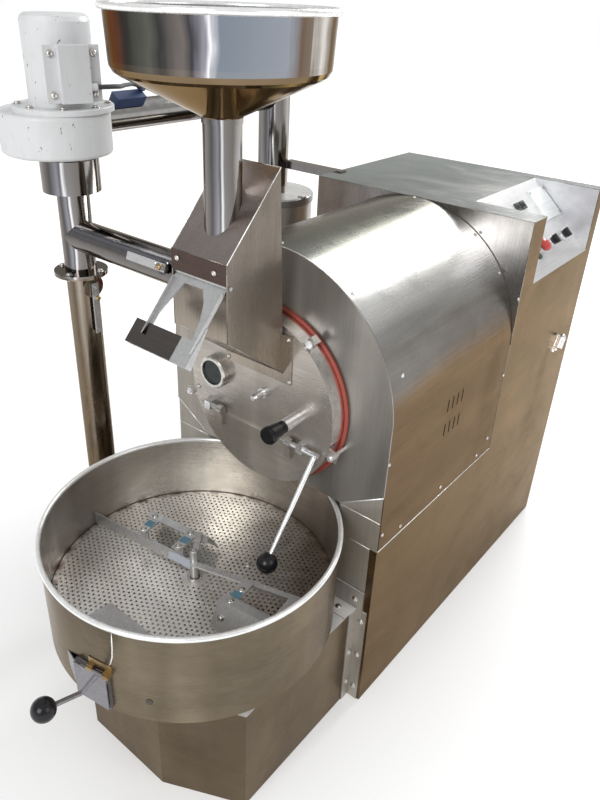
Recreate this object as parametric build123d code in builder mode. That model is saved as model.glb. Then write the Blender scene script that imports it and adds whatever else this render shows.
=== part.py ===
from build123d import *
import os
from math import cos, radians, sin, sqrt

os.makedirs("parts", exist_ok=True)

# Millimetres. X runs to the right seen from the front, Y to the back, Z up from the floor.
# Y = 0 is the front face of the bulkhead behind the cap.
sheet = 2.0
plate = 5.0
run_fit = 0.05
slip = 0.2
weld_gap = 0.2
free = 0.5
pipe_r = 38.0
pipe_bore = pipe_r - sheet

# Casing
half_width = 345.0
inner_half = half_width - sheet
casing_rear = 1142.0
cabinet_front = 611.0
cabinet_top_z = 1226.0
under_top = cabinet_top_z - sheet
shroud_foot = 536.0
arch_z = 881.0
bar_top = 6.0
pan_top = 9.0
return_flange = 20.0
corner_low = (230.0, 628.0)
corner_high = (half_width, 701.0)

# Sloped control panel in the right top edge
panel_high = (140.0, cabinet_top_z)
panel_low = (half_width, 1038.0)
panel_front = 690.0
panel_rear = 1100.0
panel_run = sqrt((panel_low[0] - panel_high[0]) ** 2 + (panel_high[1] - panel_low[1]) ** 2)
panel_normal = ((panel_high[1] - panel_low[1]) / panel_run, 0.0, (panel_low[0] - panel_high[0]) / panel_run)
panel_mid = (
    (panel_low[0] + panel_high[0]) / 2,
    (panel_front + panel_rear) / 2,
    (panel_low[1] + panel_high[1]) / 2,
)
estop_at = (-40.0, -63.0)
selector_left_at = (46.0, -63.0)
selector_right_at = (136.0, -63.0)
start_at = (-89.0, -84.0)
stem_r = 8.0
start_r = 9.0

# Drum and its front cap
drum_z = 857.5
drum_r = 200.0
drum_front = 10.0
drum_rear = 540.0
mouth_r = 190.0
drum_shaft_r = 20.0
cap_r = 224.0
cap_depth = 52.5
cap_face = -cap_depth
cap_plate = 6.0
seal_r = 5.0
stud_circle = 239.2
stud_r = 5.0
stud_angles = (-16.5, 196.5)
bolt_circle = 235.5
bolt_angles = (53.0, 127.0)
bolt_seat = -40.0
sight_at = (-133.5, 884.5)
sight_r = 33.0
probe_at = (20.0, 880.0)
tryer_at = (128.0, 855.5)
tryer_r = 12.0
bush_end = -110.0
door_axis = (-66.0, 783.0)
door_r = 205.0
door_chord = 772.0
door_hole_r = 186.0
door_hole_chord = 757.0
door_shaft_r = 7.0
door_ball_at = (190.0, -228.0, 566.0)
ball_r = 25.0

# Feed chute, flap, pipe and hopper
chute_half = 77.5
chute_side = [(-84.0, 1420.0), (-238.0, 1258.0), (-238.0, 1090.0), (-55.5, 953.0)]
chute_front = chute_side[1][0]
flange_front = cap_face - 3.0
slot_low = 1195.0
lip_low = 1215.0
feed_y = -167.0
flap_pivot = (-229.0, 1208.0)
flap_slope = 47.0
flap_plate = 3.0
flap_pin_r = 4.0
hopper_rim = 1694.0
hopper_side = hopper_rim - 84.0
feed_top = hopper_rim - 181.0

# Cooling tub, stirrer and gate
tub_r = 350.0
tub_back = 71.0
tub_y = tub_back - tub_r
tub_front = tub_y - tub_r
tub_low = 362.0
tub_rim = 613.0
rim_bead = 5.5
tray_top = 323.0
collar_r = tub_r - 75.0
floor_low = 433.0
floor_top = 436.0
tray_half = 305.0
tray_front = tub_front + 115.0
tray_chamfer = (192.0, 93.0)
tray_chamfer_left = 161.0
stirrer_turn = 8.0
stirrer_r = 10.0
stirrer_bar = 500.0
scraper_low = 442.0
plough_low = 446.0
gate_angle = -80.0
gate_left = -52.0
gate_right = 37.0
gate_foot = 372.0
mouth_w = tub_r + 6.0
wing_depth = 22.0
hinge_u = 16.0
hinge_w = tub_r + 10.0
hinge_z = 474.0
hinge_pin_r = 2.0
gate_low = 438.0
gate_high = 470.0
gate_ball_at = (80.0, tub_front - 129.0, 490.0)

# Smoke stack, blower and cyclone
stack_x = -467.0
stack_y = -192.0
duct_flange_z = 1097.0
branch_z = 1190.0
tee_seam = -390.0
sleeve_r = 67.5
sleeve_low = 1297.0
sleeve_high = 1372.0
volute_low = 1383.0
volute_high = 1475.0
volute_skin = 3.0
motor_flange = 12.0
motor_r = 73.0
motor_top = 1667.0
fan_shaft_r = 8.0
duct_z = 160.0
elbow_r = 76.0
damper_stack_z = 1067.0
damper_branch_x = -112.0
damper_tilt = 20.0
damper_shaft_r = 4.0
outlet_x = stack_x - 123.0
outlet_z = 1424.0
outlet_front = stack_y + 140.0
cyclone_y = 680.0
riser_r = 50.0
cyclone_r = 135.0
cyclone_top = 1120.0
lead_r = 5.0
box_turn = -17.0

STAND = (Align.CENTER, Align.CENTER, Align.MIN)


def front_plane(y):
    # Local x to the right, local y up; a positive extrusion comes forward.
    return Plane(origin=(0, y, 0), x_dir=(1, 0, 0), z_dir=(0, -1, 0))


def side_plane(x):
    # Local x to the back, local y up; a positive extrusion goes to the right.
    return Plane(origin=(x, 0, 0), x_dir=(0, 1, 0), z_dir=(1, 0, 0))


def axial_plane(origin, direction):
    # Local y along the direction, local x across it.
    along = Vector(*direction).normalized()
    hint = Vector(1, 0, 0) if abs(along.X) < 0.9 else Vector(0, 0, 1)
    across = (hint - along * hint.dot(along)).normalized()
    return Plane(origin=origin, x_dir=across, z_dir=across.cross(along))


def block(low, high, mode=Mode.ADD):
    size = [b - a for a, b in zip(low, high)]
    middle = [(a + b) / 2 for a, b in zip(low, high)]
    with Locations(tuple(middle)):
        Box(*size, mode=mode)


def rod(start, end, radius, mode=Mode.ADD):
    run = Vector(*end) - Vector(*start)
    with Locations(Plane(origin=start, z_dir=run)):
        Cylinder(radius, run.length, align=STAND, mode=mode)


def ring(start, end, outer, inner):
    rod(start, end, outer)
    rod(start, end, inner, mode=Mode.SUBTRACT)


def prism(plane, points, depth, mode=Mode.ADD):
    with BuildSketch(plane, mode=Mode.PRIVATE) as outline:
        with BuildLine():
            Polyline(*points, close=True)
        make_face()
    extrude(outline.sketch, amount=depth, mode=mode)


def lathe(plane, points, mode=Mode.ADD):
    with BuildSketch(plane, mode=Mode.PRIVATE) as outline:
        with BuildLine():
            Polyline(*points, close=True)
        make_face()
    revolve(outline.sketch, axis=Axis(plane.origin, plane.y_dir), mode=mode)


def on_plane(plane, u, v, h=0.0):
    return tuple(plane.from_local_coords((u, v, h)))


def keep(piece, name):
    piece.part.label = name
    export_step(piece.part, f"parts/{name}.step")


panel = Plane(origin=panel_mid, x_dir=(0, 1, 0), z_dir=panel_normal)
flap = Plane(
    origin=(0, flap_pivot[0], flap_pivot[1]),
    x_dir=(1, 0, 0),
    z_dir=(0, -sin(radians(flap_slope)), cos(radians(flap_slope))),
)
stirrer = Plane(
    origin=(0, tub_y, 0), x_dir=(cos(radians(stirrer_turn)), sin(radians(stirrer_turn)), 0), z_dir=(0, 0, 1)
)
# Gate frame: local x along the tub wall to the right, local y inward, so the wall is at -tub_r.
gate = Plane(
    origin=(0, tub_y, 0),
    x_dir=(-sin(radians(gate_angle)), cos(radians(gate_angle)), 0),
    z_dir=(0, 0, 1),
)
stack_base = (stack_x, stack_y, 0)
stack_axis = axial_plane(stack_base, (0, 0, 1))
tub_axis = axial_plane((0, tub_y, 0), (0, 0, 1))
feed_axis = axial_plane((0, feed_y, 0), (0, 0, 1))
cyclone_axis = axial_plane((outlet_x, cyclone_y, 0), (0, 0, 1))
branch_tilt = (0, -cos(radians(damper_tilt)), sin(radians(damper_tilt)))
box_out = (cos(radians(box_turn)), sin(radians(box_turn)), 0)
# Terminal box frame: local x along the cover to the right, local y up, local z outward.
box_face = Plane(origin=stack_base, x_dir=(-box_out[1], box_out[0], 0), z_dir=box_out)

tray_outline = [
    (tray_half, sheet),
    (tray_half, tray_front + tray_chamfer[1]),
    (tray_half - tray_chamfer[0], tray_front),
    (tray_chamfer_left - tray_half, tray_front),
    (-tray_half, tray_front + tray_chamfer[1]),
    (-tray_half, sheet),
]

# Base frame of flat bars with the floor pans of casing and tray
with BuildPart() as base_frame:
    for side in (-1, 1):
        block((side * 283 - 20, tray_front + 114, 0), (side * 283 + 20, 1130, bar_top))
    for y in (tray_front + 134, -20, cabinet_front, 1090):
        block((-303, y, 0), (303, y + 40, bar_top))
    block((-inner_half, 2 * sheet, bar_top), (inner_half, casing_rear - sheet, pan_top))
    with BuildSketch(Plane.XY.offset(bar_top)):
        with BuildLine():
            Polyline(*tray_outline, close=True)
        make_face()
        offset(amount=-sheet, kind=Kind.INTERSECTION)
        with Locations((0, -20)):
            Rectangle(2 * (tray_half - sheet), 2 * (20 + sheet))
    extrude(amount=pan_top - bar_top)
keep(base_frame, "base_frame")

# Side panels; the right one is cut out under the control panel
for side, name in ((1, "right"), (-1, "left")):
    outline = [(0, 0), (casing_rear, 0), (casing_rear, under_top)]
    if side == 1:
        outline += [(panel_rear, under_top), (panel_rear, panel_low[1])]
        outline += [(panel_front, panel_low[1]), (panel_front, under_top)]
    outline += [(cabinet_front, under_top), (cabinet_front, shroud_foot), (0, shroud_foot)]
    with BuildPart() as side_panel:
        prism(side_plane(side * inner_half), outline, side * sheet)
        inner_edge = side * (half_width - return_flange)
        low_x = min(inner_edge, side * half_width)
        block((low_x, 0, 0), (low_x + return_flange, sheet, shroud_foot))
    keep(side_panel, f"side_panel_{name}")

# Lower front panel with the round recess that the tub stands in
recess_r = tub_r + 12
recess_low = 330.0
with BuildPart() as lower_front_panel:
    with Locations((0, tub_y, recess_low)):
        Cylinder(recess_r + sheet, corner_low[1] - recess_low, align=STAND)
    block((-500, -900, 0), (500, sheet, 900), mode=Mode.SUBTRACT)
    prism(
        front_plane(2 * sheet),
        [
            (-inner_half, bar_top),
            (inner_half, bar_top),
            (inner_half, corner_high[1] - 1.3),
            corner_low,
            (-corner_low[0], corner_low[1]),
            (-inner_half, corner_high[1] - 1.3),
        ],
        sheet,
    )
    with Locations((0, tub_y, recess_low + sheet)):
        Cylinder(recess_r, 400, align=STAND, mode=Mode.SUBTRACT)
keep(lower_front_panel, "lower_front_panel")

with BuildPart() as rear_panel:
    block((-inner_half, casing_rear - sheet, pan_top), (inner_half, casing_rear, under_top))
    with Locations((0, casing_rear, 930)):
        with GridLocations(150, 22, 3, 8):
            Box(110, 10, 6, mode=Mode.SUBTRACT)
    rod((0, casing_rear - 10, 600), (0, casing_rear + 10, 600), 10.5 + slip, mode=Mode.SUBTRACT)
keep(rear_panel, "rear_panel")

# Cabinet bulkhead with the shelf that carries the drum drive
shelf_top = drum_z - 75
with BuildPart() as cabinet_bulkhead:
    block((-inner_half, cabinet_front, pan_top), (inner_half, cabinet_front + sheet, under_top))
    block((-150, cabinet_front, shelf_top - 6), (150, 900, shelf_top))
    for x in (-140, 135):
        prism(
            side_plane(x),
            [(cabinet_front, shelf_top - 6), (880, shelf_top - 6), (cabinet_front, shelf_top - 140)],
            plate,
        )
    rod((0, 600, drum_z), (0, 620, drum_z), drum_shaft_r + 4, mode=Mode.SUBTRACT)
    rod((0, 600, 600), (0, 620, 600), 10.5 + slip, mode=Mode.SUBTRACT)
keep(cabinet_bulkhead, "cabinet_bulkhead")

with BuildPart() as cabinet_top:
    block((-half_width, cabinet_front, under_top), (half_width, casing_rear, cabinet_top_z))
    block((panel_high[0], panel_front, 1200), (400, panel_rear, 1300), mode=Mode.SUBTRACT)
keep(cabinet_top, "cabinet_top")

# Sloped control panel with its end cheeks
sheet_x = sheet / panel_normal[0]
sheet_z = sheet / panel_normal[2]
with BuildPart() as control_panel:
    prism(
        front_plane(panel_rear),
        [
            panel_high,
            panel_low,
            (panel_low[0] - sheet_x, panel_low[1]),
            (panel_high[0], panel_high[1] - sheet_z),
        ],
        panel_rear - panel_front,
    )
    for y in (panel_front, panel_rear + sheet):
        prism(
            front_plane(y),
            [(panel_high[0] - 16, under_top), (inner_half, under_top), (inner_half, panel_low[1] - 16)],
            sheet,
        )
    for at, hole in (
        (estop_at, stem_r),
        (selector_left_at, stem_r),
        (selector_right_at, stem_r),
        (start_at, start_r),
    ):
        rod(on_plane(panel, *at, -20), on_plane(panel, *at, 20), hole + 3, mode=Mode.SUBTRACT)
keep(control_panel, "control_panel")

with BuildPart() as panel_instruments:
    with Locations(panel):
        with Locations((-14, 74, 0), (20, 74, 0)):
            Box(27, 27, 4, align=STAND)
        with Locations((145, 52, 0)):
            Box(110, 105, 6, align=STAND)
keep(panel_instruments, "panel_instruments")

# Chrome bezels: a collar on the panel with a barrel through it
with BuildPart() as control_bezels:
    for at, bore, height in (
        (estop_at, stem_r, 8),
        (selector_left_at, stem_r, 4),
        (selector_right_at, stem_r, 4),
        (start_at, start_r, 5),
    ):
        rod(on_plane(panel, *at, 0), on_plane(panel, *at, height), bore + 7)
        rod(on_plane(panel, *at, -12), on_plane(panel, *at, 1), bore + 3)
        rod(on_plane(panel, *at, -20), on_plane(panel, *at, 20), bore + run_fit, mode=Mode.SUBTRACT)
keep(control_bezels, "control_bezels")

with BuildPart() as estop_button:
    lathe(
        axial_plane(on_plane(panel, *estop_at), panel_normal),
        [(0, -16), (stem_r, -16), (stem_r, 14), (20, 14), (20, 20), (17, 24), (10, 27), (0, 28)],
    )
keep(estop_button, "estop_button")

with BuildPart() as start_button:
    lathe(
        axial_plane(on_plane(panel, *start_at), panel_normal),
        [(0, -12), (start_r, -12), (start_r, 8), (start_r - 1.5, 9.5), (0, 9.5)],
    )
keep(start_button, "start_button")

for at, name in ((selector_left_at, "selector_left"), (selector_right_at, "selector_right")):
    with BuildPart() as selector:
        rod(on_plane(panel, *at, -14), on_plane(panel, *at, 8), stem_r)
        rod(on_plane(panel, *at, 4 + free), on_plane(panel, *at, 11), 13)
        with Locations(panel):
            with Locations((at[0], at[1], 10)):
                Box(8, 28, 12, align=STAND)
    keep(selector, name)

# Draw latch on the right side panel
with BuildPart() as side_latch:
    latch = Plane(origin=(half_width, 1013, 745), x_dir=(0, 0.5, 0.866), z_dir=(1, 0, 0))
    with Locations(latch):
        with Locations((0, 0, 0)):
            Box(58, 26, 3, align=STAND)
        with Locations((6, 0, 3)):
            Box(34, 22, 12, align=STAND)
    lathe(
        axial_plane(on_plane(latch, 0, 0, 15), tuple(latch.x_dir)),
        [(0, -12), (11, -12), (11, 24), (9, 31), (5, 35), (0, 36)],
    )
    rod(on_plane(latch, -18, -12, 6), on_plane(latch, -18, 12, 6), 4.5)
keep(side_latch, "side_latch")

# Drum shroud with two rows of louvre slits in its right side
with BuildPart() as drum_shroud:
    with BuildSketch(front_plane(cabinet_front)):
        for reach, mode in ((half_width, Mode.ADD), (inner_half, Mode.SUBTRACT)):
            with Locations((0, (shroud_foot + arch_z) / 2)):
                Rectangle(2 * reach, arch_z - shroud_foot, mode=mode)
            with Locations((0, arch_z)):
                Circle(reach, mode=mode)
        with Locations((0, shroud_foot)):
            Rectangle(2 * half_width, 800, align=(Align.CENTER, Align.MAX), mode=Mode.SUBTRACT)
    extrude(amount=cabinet_front - plate)
    with Locations(Plane(origin=(half_width, 308.5, 796), x_dir=(0, 1, 0), z_dir=(1, 0, 0))):
        with GridLocations(24.7, 71.4, 4, 2):
            Box(5, 36, 12, mode=Mode.SUBTRACT)
keep(drum_shroud, "drum_shroud")

with BuildPart() as front_bulkhead:
    with BuildSketch(front_plane(plate)):
        with Locations((0, arch_z)):
            Circle(half_width)
        with BuildLine():
            Polyline(
                (half_width, arch_z),
                corner_high,
                corner_low,
                (-corner_low[0], corner_low[1]),
                (-corner_high[0], corner_high[1]),
                (-half_width, arch_z),
                close=True,
            )
        make_face()
        with BuildLine():
            Polyline(
                (500, 300),
                (500, corner_high[1]),
                corner_high,
                corner_low,
                (0, corner_low[1]),
                (0, 300),
                close=True,
            )
        make_face(mode=Mode.SUBTRACT)
        with BuildLine():
            Polyline(
                (-500, 300),
                (-500, corner_high[1]),
                (-corner_high[0], corner_high[1]),
                (-corner_low[0], corner_low[1]),
                (0, corner_low[1]),
                (0, 300),
                close=True,
            )
        make_face(mode=Mode.SUBTRACT)
        with Locations((0, drum_z)):
            Circle(mouth_r, mode=Mode.SUBTRACT)
    extrude(amount=plate)
keep(front_bulkhead, "front_bulkhead")

# Front cap: a shallow pan with ears and bolt lugs, the door mouth and the chute inlet
with BuildPart() as front_cap:
    rod((0, 0, drum_z), (0, cap_face, drum_z), cap_r)
    for angle in stud_angles:
        reach = (cos(radians(angle)), sin(radians(angle)))
        ear = Plane(origin=(0, cap_face, drum_z), x_dir=(reach[0], 0, reach[1]), z_dir=(0, 1, 0))
        with Locations(ear):
            with Locations((stud_circle - 14, 0, 0)):
                Box(52, 26, cap_plate, align=STAND)
            with Locations((stud_circle, 0, -1)):
                Cylinder(stud_r + slip, 20, align=STAND, mode=Mode.SUBTRACT)
    for angle in bolt_angles:
        reach = (cos(radians(angle)), sin(radians(angle)))
        lug = Plane(origin=(0, bolt_seat, drum_z), x_dir=(reach[0], 0, reach[1]), z_dir=(0, 1, 0))
        with Locations(lug):
            with Locations((bolt_circle - 2, 0, 0)):
                Box(26, 20, 18, align=STAND)
    rod((0, 1, drum_z), (0, cap_face + cap_plate, drum_z), cap_r - 4, mode=Mode.SUBTRACT)
    with BuildSketch(front_plane(0)):
        with Locations((0, drum_z)):
            Circle(door_hole_r)
        with Locations((0, door_hole_chord)):
            Rectangle(600, 600, align=(Align.CENTER, Align.MIN), mode=Mode.SUBTRACT)
    extrude(amount=100, mode=Mode.SUBTRACT)
    block((-70, -80, 962), (70, 0, 1038), mode=Mode.SUBTRACT)
    for at, hole in ((sight_at, sight_r), (probe_at, 4), (tryer_at, tryer_r + 2)):
        rod((at[0], 0, at[1]), (at[0], -80, at[1]), hole, mode=Mode.SUBTRACT)
keep(front_cap, "front_cap")

with BuildPart() as cap_seal:
    with Locations(Plane(origin=(0, -seal_r, drum_z), z_dir=(0, 1, 0))):
        Torus(cap_r + seal_r, seal_r)
keep(cap_seal, "cap_seal")

# Studs with nuts, rim bolts, probe gland and tryer bush
with BuildPart() as cap_fittings:
    for angle in stud_angles:
        x = stud_circle * cos(radians(angle))
        z = drum_z + stud_circle * sin(radians(angle))
        rod((x, 0, z), (x, cap_face - 14, z), stud_r)
        with Locations(front_plane(cap_face)):
            with Locations((x, z)):
                with BuildSketch(mode=Mode.PRIVATE) as nut:
                    RegularPolygon(10, 6)
                add(extrude(nut.sketch, amount=9, mode=Mode.PRIVATE))
    for angle in bolt_angles:
        x = bolt_circle * cos(radians(angle))
        z = drum_z + bolt_circle * sin(radians(angle))
        with Locations(front_plane(bolt_seat)):
            with Locations((x, z)):
                with BuildSketch(mode=Mode.PRIVATE) as head:
                    RegularPolygon(11, 6)
                add(extrude(head.sketch, amount=9, mode=Mode.PRIVATE))
    lathe(
        axial_plane((probe_at[0], cap_face, probe_at[1]), (0, -1, 0)),
        [(0, -30), (3, -30), (3, 0), (13, 0), (13, 9), (9, 9), (9, 34), (6, 42), (0, 42)],
    )
    ring(
        (tryer_at[0], cap_face, tryer_at[1]),
        (tryer_at[0], bush_end, tryer_at[1]),
        15.5,
        tryer_r + run_fit,
    )
keep(cap_fittings, "cap_fittings")

with BuildPart() as sight_ring:
    lathe(
        axial_plane((sight_at[0], cap_face, sight_at[1]), (0, -1, 0)),
        [
            (sight_r + 4, 0),
            (sight_r + 9, 0),
            (sight_r + 9, 19),
            (sight_r + 6, 22.5),
            (sight_r, 22.5),
            (sight_r, 17),
            (sight_r + 4, 17),
        ],
    )
keep(sight_ring, "sight_ring")

with BuildPart() as sight_glass:
    rod(
        (sight_at[0], cap_face - 11, sight_at[1]),
        (sight_at[0], cap_face - 17, sight_at[1]),
        sight_r + 4,
    )
keep(sight_glass, "sight_glass")

# Discharge door: bearings on the cap, door plate with the left pin, lever with the right pin, ball
with BuildPart() as door_bearings:
    for x in (-150, 150):
        block((x - 9, door_axis[0] - 11, door_chord + 2), (x + 9, cap_face, door_axis[1] + 14))
        rod(
            (x - 20, door_axis[0], door_axis[1]),
            (x + 20, door_axis[0], door_axis[1]),
            door_shaft_r + run_fit,
            mode=Mode.SUBTRACT,
        )
keep(door_bearings, "door_bearings")

with BuildPart() as discharge_door:
    with BuildSketch(front_plane(cap_face - free)):
        with Locations((0, drum_z)):
            Circle(door_r)
        with Locations((0, door_chord)):
            Rectangle(600, 600, align=(Align.CENTER, Align.MIN), mode=Mode.SUBTRACT)
    extrude(amount=plate)
    for x in (-112, 112):
        block((x - 8, door_axis[0] - 6, 742), (x + 8, cap_face - free - plate + 1, door_axis[1]))
        rod((x - 8, door_axis[0], door_axis[1]), (x + 8, door_axis[0], door_axis[1]), 12)
    rod((92, door_axis[0], door_axis[1]), (132, door_axis[0], door_axis[1]), door_shaft_r, mode=Mode.SUBTRACT)
    rod((-175, door_axis[0], door_axis[1]), (-112, door_axis[0], door_axis[1]), door_shaft_r)
keep(discharge_door, "discharge_door")

with BuildPart() as door_lever:
    rod((100, door_axis[0], door_axis[1]), (198, door_axis[0], door_axis[1]), door_shaft_r)
    rod((door_ball_at[0], door_axis[0], door_axis[1]), door_ball_at, 6)
    with Locations(door_ball_at):
        Sphere(ball_r - 6, mode=Mode.SUBTRACT)
keep(door_lever, "door_lever")

with BuildPart() as door_ball:
    with Locations(door_ball_at):
        Sphere(ball_r)
    rod((door_ball_at[0], door_axis[0], door_axis[1]), door_ball_at, 6, mode=Mode.SUBTRACT)
    with Locations(door_ball_at):
        Sphere(ball_r - 6)
keep(door_ball, "door_ball")

# Tryer: a tube with an open scoop that pulls out of its bush
with BuildPart() as tryer:
    rod((tryer_at[0], 110, tryer_at[1]), (tryer_at[0], bush_end - 30, tryer_at[1]), tryer_r)
    block(
        (tryer_at[0] - 9, -30, tryer_at[1] - 8),
        (tryer_at[0] + 9, 104, tryer_at[1] + 20),
        mode=Mode.SUBTRACT,
    )
keep(tryer, "tryer")

with BuildPart() as tryer_grip:
    lathe(
        axial_plane((tryer_at[0], bush_end, tryer_at[1]), (0, -1, 0)),
        [
            (tryer_r, 1),
            (15.5, 1),
            (15.5, 14),
            (17, 16),
            (21.5, 47),
            (21.5, 53),
            (19, 57),
            (0, 57),
            (0, 30),
            (tryer_r, 30),
        ],
    )
keep(tryer_grip, "tryer_grip")

# Feed chute with its flange, the slot for the flap, the lip over it and the smoke outlet
with BuildPart() as chute_box:
    prism(side_plane(-chute_half), chute_side, 2 * chute_half)
    with BuildSketch(side_plane(sheet - chute_half)):
        with BuildLine():
            Polyline(*chute_side, close=True)
        make_face()
        offset(amount=-sheet, kind=Kind.INTERSECTION)
    extrude(amount=2 * (chute_half - sheet), mode=Mode.SUBTRACT)
    block((-102, flange_front, 929), (102, cap_face, 1051))
    prism(side_plane(-chute_half), [(flange_front, 953), (flange_front, 1051), (-64, 1051)], 2 * chute_half)
    block((-70, -90, 962), (70, 0, 1038), mode=Mode.SUBTRACT)
    block(
        (sheet - chute_half, chute_front - 5, slot_low),
        (chute_half - sheet, chute_front + sheet, lip_low),
        mode=Mode.SUBTRACT,
    )
    block((-chute_half, chute_front - sheet, lip_low), (chute_half, chute_front, chute_side[1][1]))
    with Locations((0, feed_y, 1260)):
        Cylinder(pipe_r, 200, align=STAND, mode=Mode.SUBTRACT)
    rod((-100, stack_y, branch_z), (-60, stack_y, branch_z), pipe_bore, mode=Mode.SUBTRACT)
    rod(
        (-100, flap_pivot[0], flap_pivot[1]),
        (100, flap_pivot[0], flap_pivot[1]),
        flap_pin_r + run_fit,
        mode=Mode.SUBTRACT,
    )
keep(chute_box, "chute_box")

# Feed pipe, mitred to lie just over the closed flap
with BuildPart() as feed_pipe:
    with Locations((0, feed_y, 1200)):
        Cylinder(pipe_r, feed_top - 1200, align=STAND)
    with Locations((0, feed_y, feed_top - 10)):
        Cylinder(pipe_r + 1.8, 10, align=STAND)
    with Locations((0, feed_y, 1100)):
        Cylinder(pipe_bore, feed_top - 1090, align=STAND, mode=Mode.SUBTRACT)
    with Locations(flap):
        with Locations((0, 60, flap_plate / 2 + free)):
            Box(200, 400, 300, align=(Align.CENTER, Align.CENTER, Align.MAX), mode=Mode.SUBTRACT)
keep(feed_pipe, "feed_pipe")

with BuildPart() as hopper:
    lathe(
        feed_axis,
        [
            (pipe_bore - slip, feed_top - 25),
            (pipe_bore - slip, feed_top),
            (pipe_r + 1.8, feed_top),
            (pipe_r + 3, feed_top + 2),
            (186, hopper_side - 26),
            (195, hopper_side - 20),
            (201, hopper_side - 10),
            (202, hopper_side),
            (206, hopper_rim),
            (204, hopper_rim),
            (200, hopper_side + 0.5),
            (199, hopper_side - 9),
            (193.5, hopper_side - 18),
            (185, hopper_side - 23.7),
            (pipe_r - 2, feed_top + 3.4),
            (pipe_bore - slip - 2, feed_top + 1),
            (pipe_bore - slip - 2, feed_top - 25),
        ],
    )
    with Locations((0, feed_y, hopper_rim)):
        Torus(209, 5.5)
keep(hopper, "hopper")

# Counterweighted flap: plate inside the chute, two tapered arms and a handle outside
with BuildPart() as feed_flap:
    with Locations(flap):
        with Locations((0, 66, 0)):
            Box(146, 172, flap_plate)
    prism(
        flap.offset(-flap_plate / 2),
        [(72, 0), (72, -150), (58, -150), (50, -84), (36, -46), (15, -18), (15, 0)],
        flap_plate,
    )
    prism(
        flap.offset(-flap_plate / 2),
        [(-70, 0), (-36, 0), (-36, -18), (-52, -70), (-60, -100), (-60, -150), (-70, -150)],
        flap_plate,
    )
    with Locations(flap):
        for x in (70.5, -68.5):
            with Locations((x, -82, 0)):
                Box(3, 136, 9, align=STAND)
        with Locations((-16, -151, 0)):
            Box(180, 54, flap_plate)
        with Locations((-39.5, -151, 0)):
            Box(133, 54, flap_plate / 2 + 1, align=STAND)
        with Locations((-104.5, -151, 0)):
            Box(3, 54, 16, align=(Align.CENTER, Align.CENTER, Align.MAX))
        with Locations((-16, -176.5, 0)):
            Box(180, 3, 16, align=(Align.CENTER, Align.CENTER, Align.MAX))
        with Locations((-16, -150, 0)):
            Box(170, 40, 12, align=(Align.CENTER, Align.CENTER, Align.MAX))
    handle_side = Plane(origin=on_plane(flap, 71, 0), x_dir=flap.y_dir, z_dir=flap.x_dir)
    prism(handle_side, [(-90, 0), (-178, 0), (-178, -18), (-90, -3)], 3)
    rod((slip - chute_half, flap_pivot[0], flap_pivot[1]), (80, flap_pivot[0], flap_pivot[1]), flap_pin_r)
keep(feed_flap, "feed_flap")

# Roasting drum on its shaft, with four lifting vanes
with BuildPart() as roasting_drum:
    ring((0, drum_front, drum_z), (0, drum_rear, drum_z), drum_r, drum_r - 4)
    rod((0, drum_rear - 5, drum_z), (0, drum_rear, drum_z), drum_r)
    rod((0, drum_front, drum_z), (0, drum_front + 3, drum_z), drum_r)
    rod((0, drum_front - 1, drum_z), (0, drum_front + 4, drum_z), mouth_r - 4, mode=Mode.SUBTRACT)
    for number in range(4):
        angle = radians(45 + 90 * number)
        vane = Plane(
            origin=(178 * cos(angle), 275, drum_z + 178 * sin(angle)),
            x_dir=(cos(angle), 0, sin(angle)),
            z_dir=(0.2 * -sin(angle), 0.98, 0.2 * cos(angle)),
        )
        with Locations(vane):
            Box(40, 3, 470)
    rod((0, drum_rear - 30, drum_z), (0, drum_rear + 40, drum_z), 45)
    rod((0, drum_rear - 40, drum_z), (0, 885, drum_z), drum_shaft_r)
keep(roasting_drum, "roasting_drum")

with BuildPart() as drum_bearings:
    for y in (660, 740):
        block((-62, y - 20, shelf_top), (62, y + 20, shelf_top + 16))
        block((-34, y - 18, shelf_top), (34, y + 18, drum_z))
        rod((0, y - 18, drum_z), (0, y + 18, drum_z), 34)
        rod((0, y - 30, drum_z), (0, y + 30, drum_z), drum_shaft_r + run_fit, mode=Mode.SUBTRACT)
keep(drum_bearings, "drum_bearings")

# Gear motors of the drum and of the stirrer
with BuildPart() as gear_motors:
    block((-55, 782, shelf_top), (55, 878, 925))
    rod((0, 830, 925), (0, 830, 1105), 60)
    rod((0, 770, drum_z), (0, 890, drum_z), drum_shaft_r + run_fit, mode=Mode.SUBTRACT)
    block((-55, tub_y - 55, 196), (55, tub_y + 55, tray_top - sheet))
    rod((0, tub_y + 55, 250), (0, -60, 250), 48)
    rod((0, tub_y, 190), (0, tub_y, tray_top), stirrer_r + run_fit, mode=Mode.SUBTRACT)
keep(gear_motors, "gear_motors")

with BuildPart() as gas_burner:
    for x in (-90, 0, 90):
        rod((x, 130, 600), (x, 560, 600), 12)
    rod((-120, 560, 600), (120, 560, 600), 16)
    rod((0, 560, 600), (0, casing_rear + 25, 600), 10.5)
    for y in (170, 500):
        block((-inner_half, y - 15, 582), (inner_half, y + 15, 588.5))
keep(gas_burner, "gas_burner")

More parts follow.
